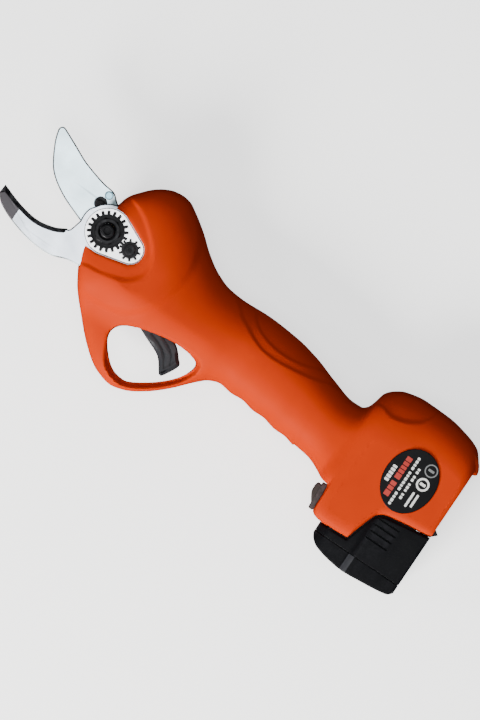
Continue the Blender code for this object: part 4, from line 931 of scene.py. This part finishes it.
def battery():
    x0, x1 = TOWER_X
    low, high = x0 + 1.6, x1 - 1.6
    seam = 0.15
    case = battery_shell("battery_case_ribbed", lambda x: BATTERY_SPLIT_Y + seam,
                         lambda x: float(np.interp(x, *zip(*CASE_TOP))), 0.35, 1.4)
    tower = soften(block("tower", (x0, -70, -TOWER_HALF), (x1, TOWER_TOP, TOWER_HALF)), 1.2, 3)
    carve(case, [tower], "UNION")
    cuts = [block("cell_room", (low, -100, -CELL_ROOM_HALF), (high, TOWER_TOP - 2, CELL_ROOM_HALF)),
            block("terminal_door", (202.4, -20, -8.4), (215.6, 0, 8.4)),
            block("latch_pocket", (230.0, -60.6, -6.6), (235.4, -30, 6.6)),
            block("latch_notch", (235, -42.5, -6.6), (240, -30, 6.6))]
    for side in (-1, 1):
        for i, y in enumerate((-46.6, -50.4, -54.4, -58.8)):
            ends = arc((221.5, y), 1, -90, 90, 8) + [(203, y + 1), (203, y - 1)]
            rows = [(BATTERY_HALF - 0.75, 0.2), (BATTERY_HALF, 0.62), (BATTERY_HALF + 3, 2.4)]
            cuts.append(solid(f"grip_line_{side}_{i}", [
                [(a, y + (b - y) * half, side * z) for a, b in ends] for z, half in rows]))
    tongues = [((front, BATTERY_SPLIT_Y - 2, -half), (229.4, BATTERY_SPLIT_Y + 1.3, half))
               for front, half in ((191.5, 20.5), (212.0, 23.2))]
    for corner, opposite in tongues:
        cuts.append(block("groove", [v - GAP for v in corner], [v + GAP for v in opposite]))
    carve(case, cuts)

    base = battery_shell("battery_foot", lambda x: float(curve(BASE_FOOT, np.array(x))),
                         lambda x: BATTERY_SPLIT_Y - seam, 1.0, 0.35)
    carve(base, [block("tongue", *corners) for corners in tongues], "UNION")
    carve(base, [block("base_room", (low, -76.6, -CELL_ROOM_HALF), (high, -60, CELL_ROOM_HALF))])
    for body in (case, base):
        # The ridges down the foot's sides get the painted highlight.
        finish_faces(body, (BLACK, RIDGE_PAINTED_HIGHLIGHT), on_highlight_ridge)
    stands_for(case, None, "battery_case")
    stands_for(base, None, "battery_base")


def battery_latch():
    outline = [(232.7, -58.6), (234.7, -58.6), (234.7, -40.4), (238.2, -40.1), (240.9, -37.4),
               (241.45, -36.8), (240.9, -36.3), (238.2, -34.3), (234.7, -34.3), (232.7, -34.3)]
    latch = rounded_slab("latch_tongue", outline, 6, 0.6, steps=3)
    carve(latch, [block(f"thumb_{i}", (238.9 + 0.62 * i, -45, -7), (239.15 + 0.62 * i, -38.4 + 0.9 * i, 7))
                  for i in range(3)])
    stands_for(latch, ROCKER_GREY, "battery_latch")


def label():
    (cx, cy), (rx, ry) = LABEL_CENTRE, LABEL_RADII
    ring = circle(1, 96)
    top = HALF_THICKNESS + GAP + 0.4
    rows = [(HALF_THICKNESS + 0.02, 0), (top - 0.15, 0), (top - 0.03, 0.15), (top, 0.4)]
    rings = [[(cx + (rx - inset) * x, cy + (ry - inset) * y, z) for x, y in ring] for z, inset in rows]
    stands_for(solid("label_film_oval", rings), FILM, "label_plate")
    ink = (top - 0.02, top + 0.05)

    def dash(name, x, width, y0, y1):
        """A bar with round corners, from y0 to y1."""
        corners = ((x + width / 2, y0, 1, 1), (x + width / 2, y1, 1, -1), (x - width / 2, y1, -1, -1),
                   (x - width / 2, y0, -1, 1))
        outline = []
        for k, (a, b, u, v) in enumerate(corners):
            outline += arc((a - DASH_CORNER * u, b + DASH_CORNER * v), DASH_CORNER, 90 * k - 90, 90 * k, 3)
        return prism(name, outline, ink)

    def row(name, x, width, start, lengths):
        """A row of dashes from start upwards; a negative length is a space."""
        dashes = []
        for i, length in enumerate(lengths):
            if length > 0:
                dashes.append(dash(f"{name}_{i}", x, width, start, start + length))
            start += abs(length) + DASH_GAP
        return dashes

    def annulus(name, centre, outer, inner):
        sizes = ((outer, ink[0]), (outer, ink[1]), (inner, ink[1]), (inner, ink[0]))
        return solid(name, [at_height(circle(r, 48, centre), z) for r, z in sizes], closed=True)

    white = row("a", 200.4, 2.5, -27.4, (1.5, 1.7, 1.5, 1.6, 1.4))
    white += row("b", 209.0, 1.5, -37.2, (1.3, 1.9, 1.4, 1.7, -0.3, 1.9, 1.2, 1.6, 1.9, 1.3, 1.5, -0.3, 1.8,
                                          1.3, 1.7, 1.4))
    white += row("c", 212.3, 1.5, -31.6, (1.7, 1.2, -0.4, 1.3, 1.6, 1.2, -0.4, 1.7, 1.3, -0.4, 1.5, 1.2))
    white.append(annulus("white_ring", (218.4, -18.4), 3.7, 2.6))
    white += [dash("mark", 218.4, 3.4, -19.2, -17.6), dash("plain_1", 216.9, 1.3, -33.6, -24.4),
              dash("plain_2", 219.6, 1.3, -32.2, -24.4)]
    red = row("d", 204.7, 3.3, -34.2, (3.2, 2.2, 2.5, -0.8, 3.2, 2.0, 1.8, 2.1, 2.6))
    grey = [annulus("grey_ring", (218.2, -9.7), 3.7, 3.0), dash("grey_mark", 218.2, 3.6, -10.4, -9.0)]
    for name, marks, colour in (("white", white, WHITE_INK), ("red", red, RED_INK), ("grey", grey, GREY_INK)):
        first = marks.pop(0)
        first.name = f"label_{name}_marks"
        carve(first, marks, "UNION")
        place(first, colour, BODY_OF["label_plate"])


# ------------ stage

FLOOR_REACH, FLOOR_DROP = 4.0, 0.0004
FLOOR_COLOUR, FLOOR_GLOW = (0.92, 0.92, 0.92), 1.6
WORLD_COLOUR, WORLD_STRENGTH = (0.95, 0.97, 1.0, 1.0), 0.09
# Each light: name, place in metres, size in metres, watts, colour, strength of its diffuse part.
LIGHTS = (("key", (-0.10, -1.30, 0.74), 0.6, 55, (1.0, 0.985, 0.95), 1.0),
          ("overhead", (0.0, -0.1, 4.0), 2.2, 72, (0.97, 0.99, 1.0), 0.34),
          ("side", (-2.6, -1.2, 2.4), 0.5, 16, (1.0, 1.0, 1.0), 1.0))
LIGHT_TARGET = Vector((0, 0, 0.02))
CAMERA_ROLL = 34.0  # the tool's axis runs this far below the picture's horizontal
VIEW_HEIGHT = 0.3931  # what the picture's 720 rows cover at the joint plane of the casing
VIEW_CENTRE = (0.00828, 0.00347)
FOCAL, SENSOR = 300.0, 36.0


def pale_floor():
    """A big plain floor that glows faintly and doesn't light the tool."""
    mesh = bpy.data.meshes.new("floor")
    corners = [(u * FLOOR_REACH, v * FLOOR_REACH, 0) for u, v in ((-1, -1), (1, -1), (1, 1), (-1, 1))]
    mesh.from_pydata(corners, [], [(0, 1, 2, 3)])
    made, tree, shader, coords = new_material("pale_floor")
    dark = tuple(c * 0.98 for c in FLOOR_COLOUR)
    paint = blend_colour(tree, noise_at(tree, coords, 6, 4.0), dark, FLOOR_COLOUR)
    connect(tree, shader, {"Base Color": paint, "Roughness": 0.7, "Emission Color": (*FLOOR_COLOUR, 1.0),
                           "Emission Strength": FLOOR_GLOW})
    mesh.materials.append(made)
    floor = add_object("floor", mesh)
    floor.location.z = -FLOOR_DROP
    floor.visible_diffuse = floor.visible_glossy = False


def area_light(name, place_at, size, power, colour, diffuse):
    """A soft lamp that the camera doesn't see, aimed at the middle of the tool."""
    lamp = bpy.data.lights.new(name, "AREA")
    lamp.size, lamp.energy, lamp.color, lamp.diffuse_factor = size, power, colour, diffuse
    thing = add_object(name, lamp)
    thing.location = place_at
    thing.visible_camera = False
    thing.rotation_euler = (LIGHT_TARGET - Vector(place_at)).to_track_quat("-Z", "Y").to_euler()


def stage():
    pale_floor()
    world = bpy.data.worlds.new("studio")
    world.use_nodes = True
    tree = world.node_tree
    connect(tree, tree.nodes["Background"], {"Color": WORLD_COLOUR, "Strength": WORLD_STRENGTH})
    bpy.context.scene.world = world
    for light in LIGHTS:
        area_light(*light)
    camera = bpy.data.cameras.new("camera")
    camera.lens, camera.sensor_width, camera.clip_end = FOCAL, SENSOR, 20
    thing = add_object("camera", camera)
    thing.location = (*VIEW_CENTRE, HALF_THICKNESS * MM + VIEW_HEIGHT * FOCAL / SENSOR)
    thing.rotation_euler = (0, 0, math.radians(CAMERA_ROLL))
    bpy.context.scene.camera = thing


finish_frame()
casing()
casing_screws()
moving_blade()
fixed_blade()
head_plate()
lock_gears()
trigger()
power_switch()
battery()
battery_latch()
label()
stage()
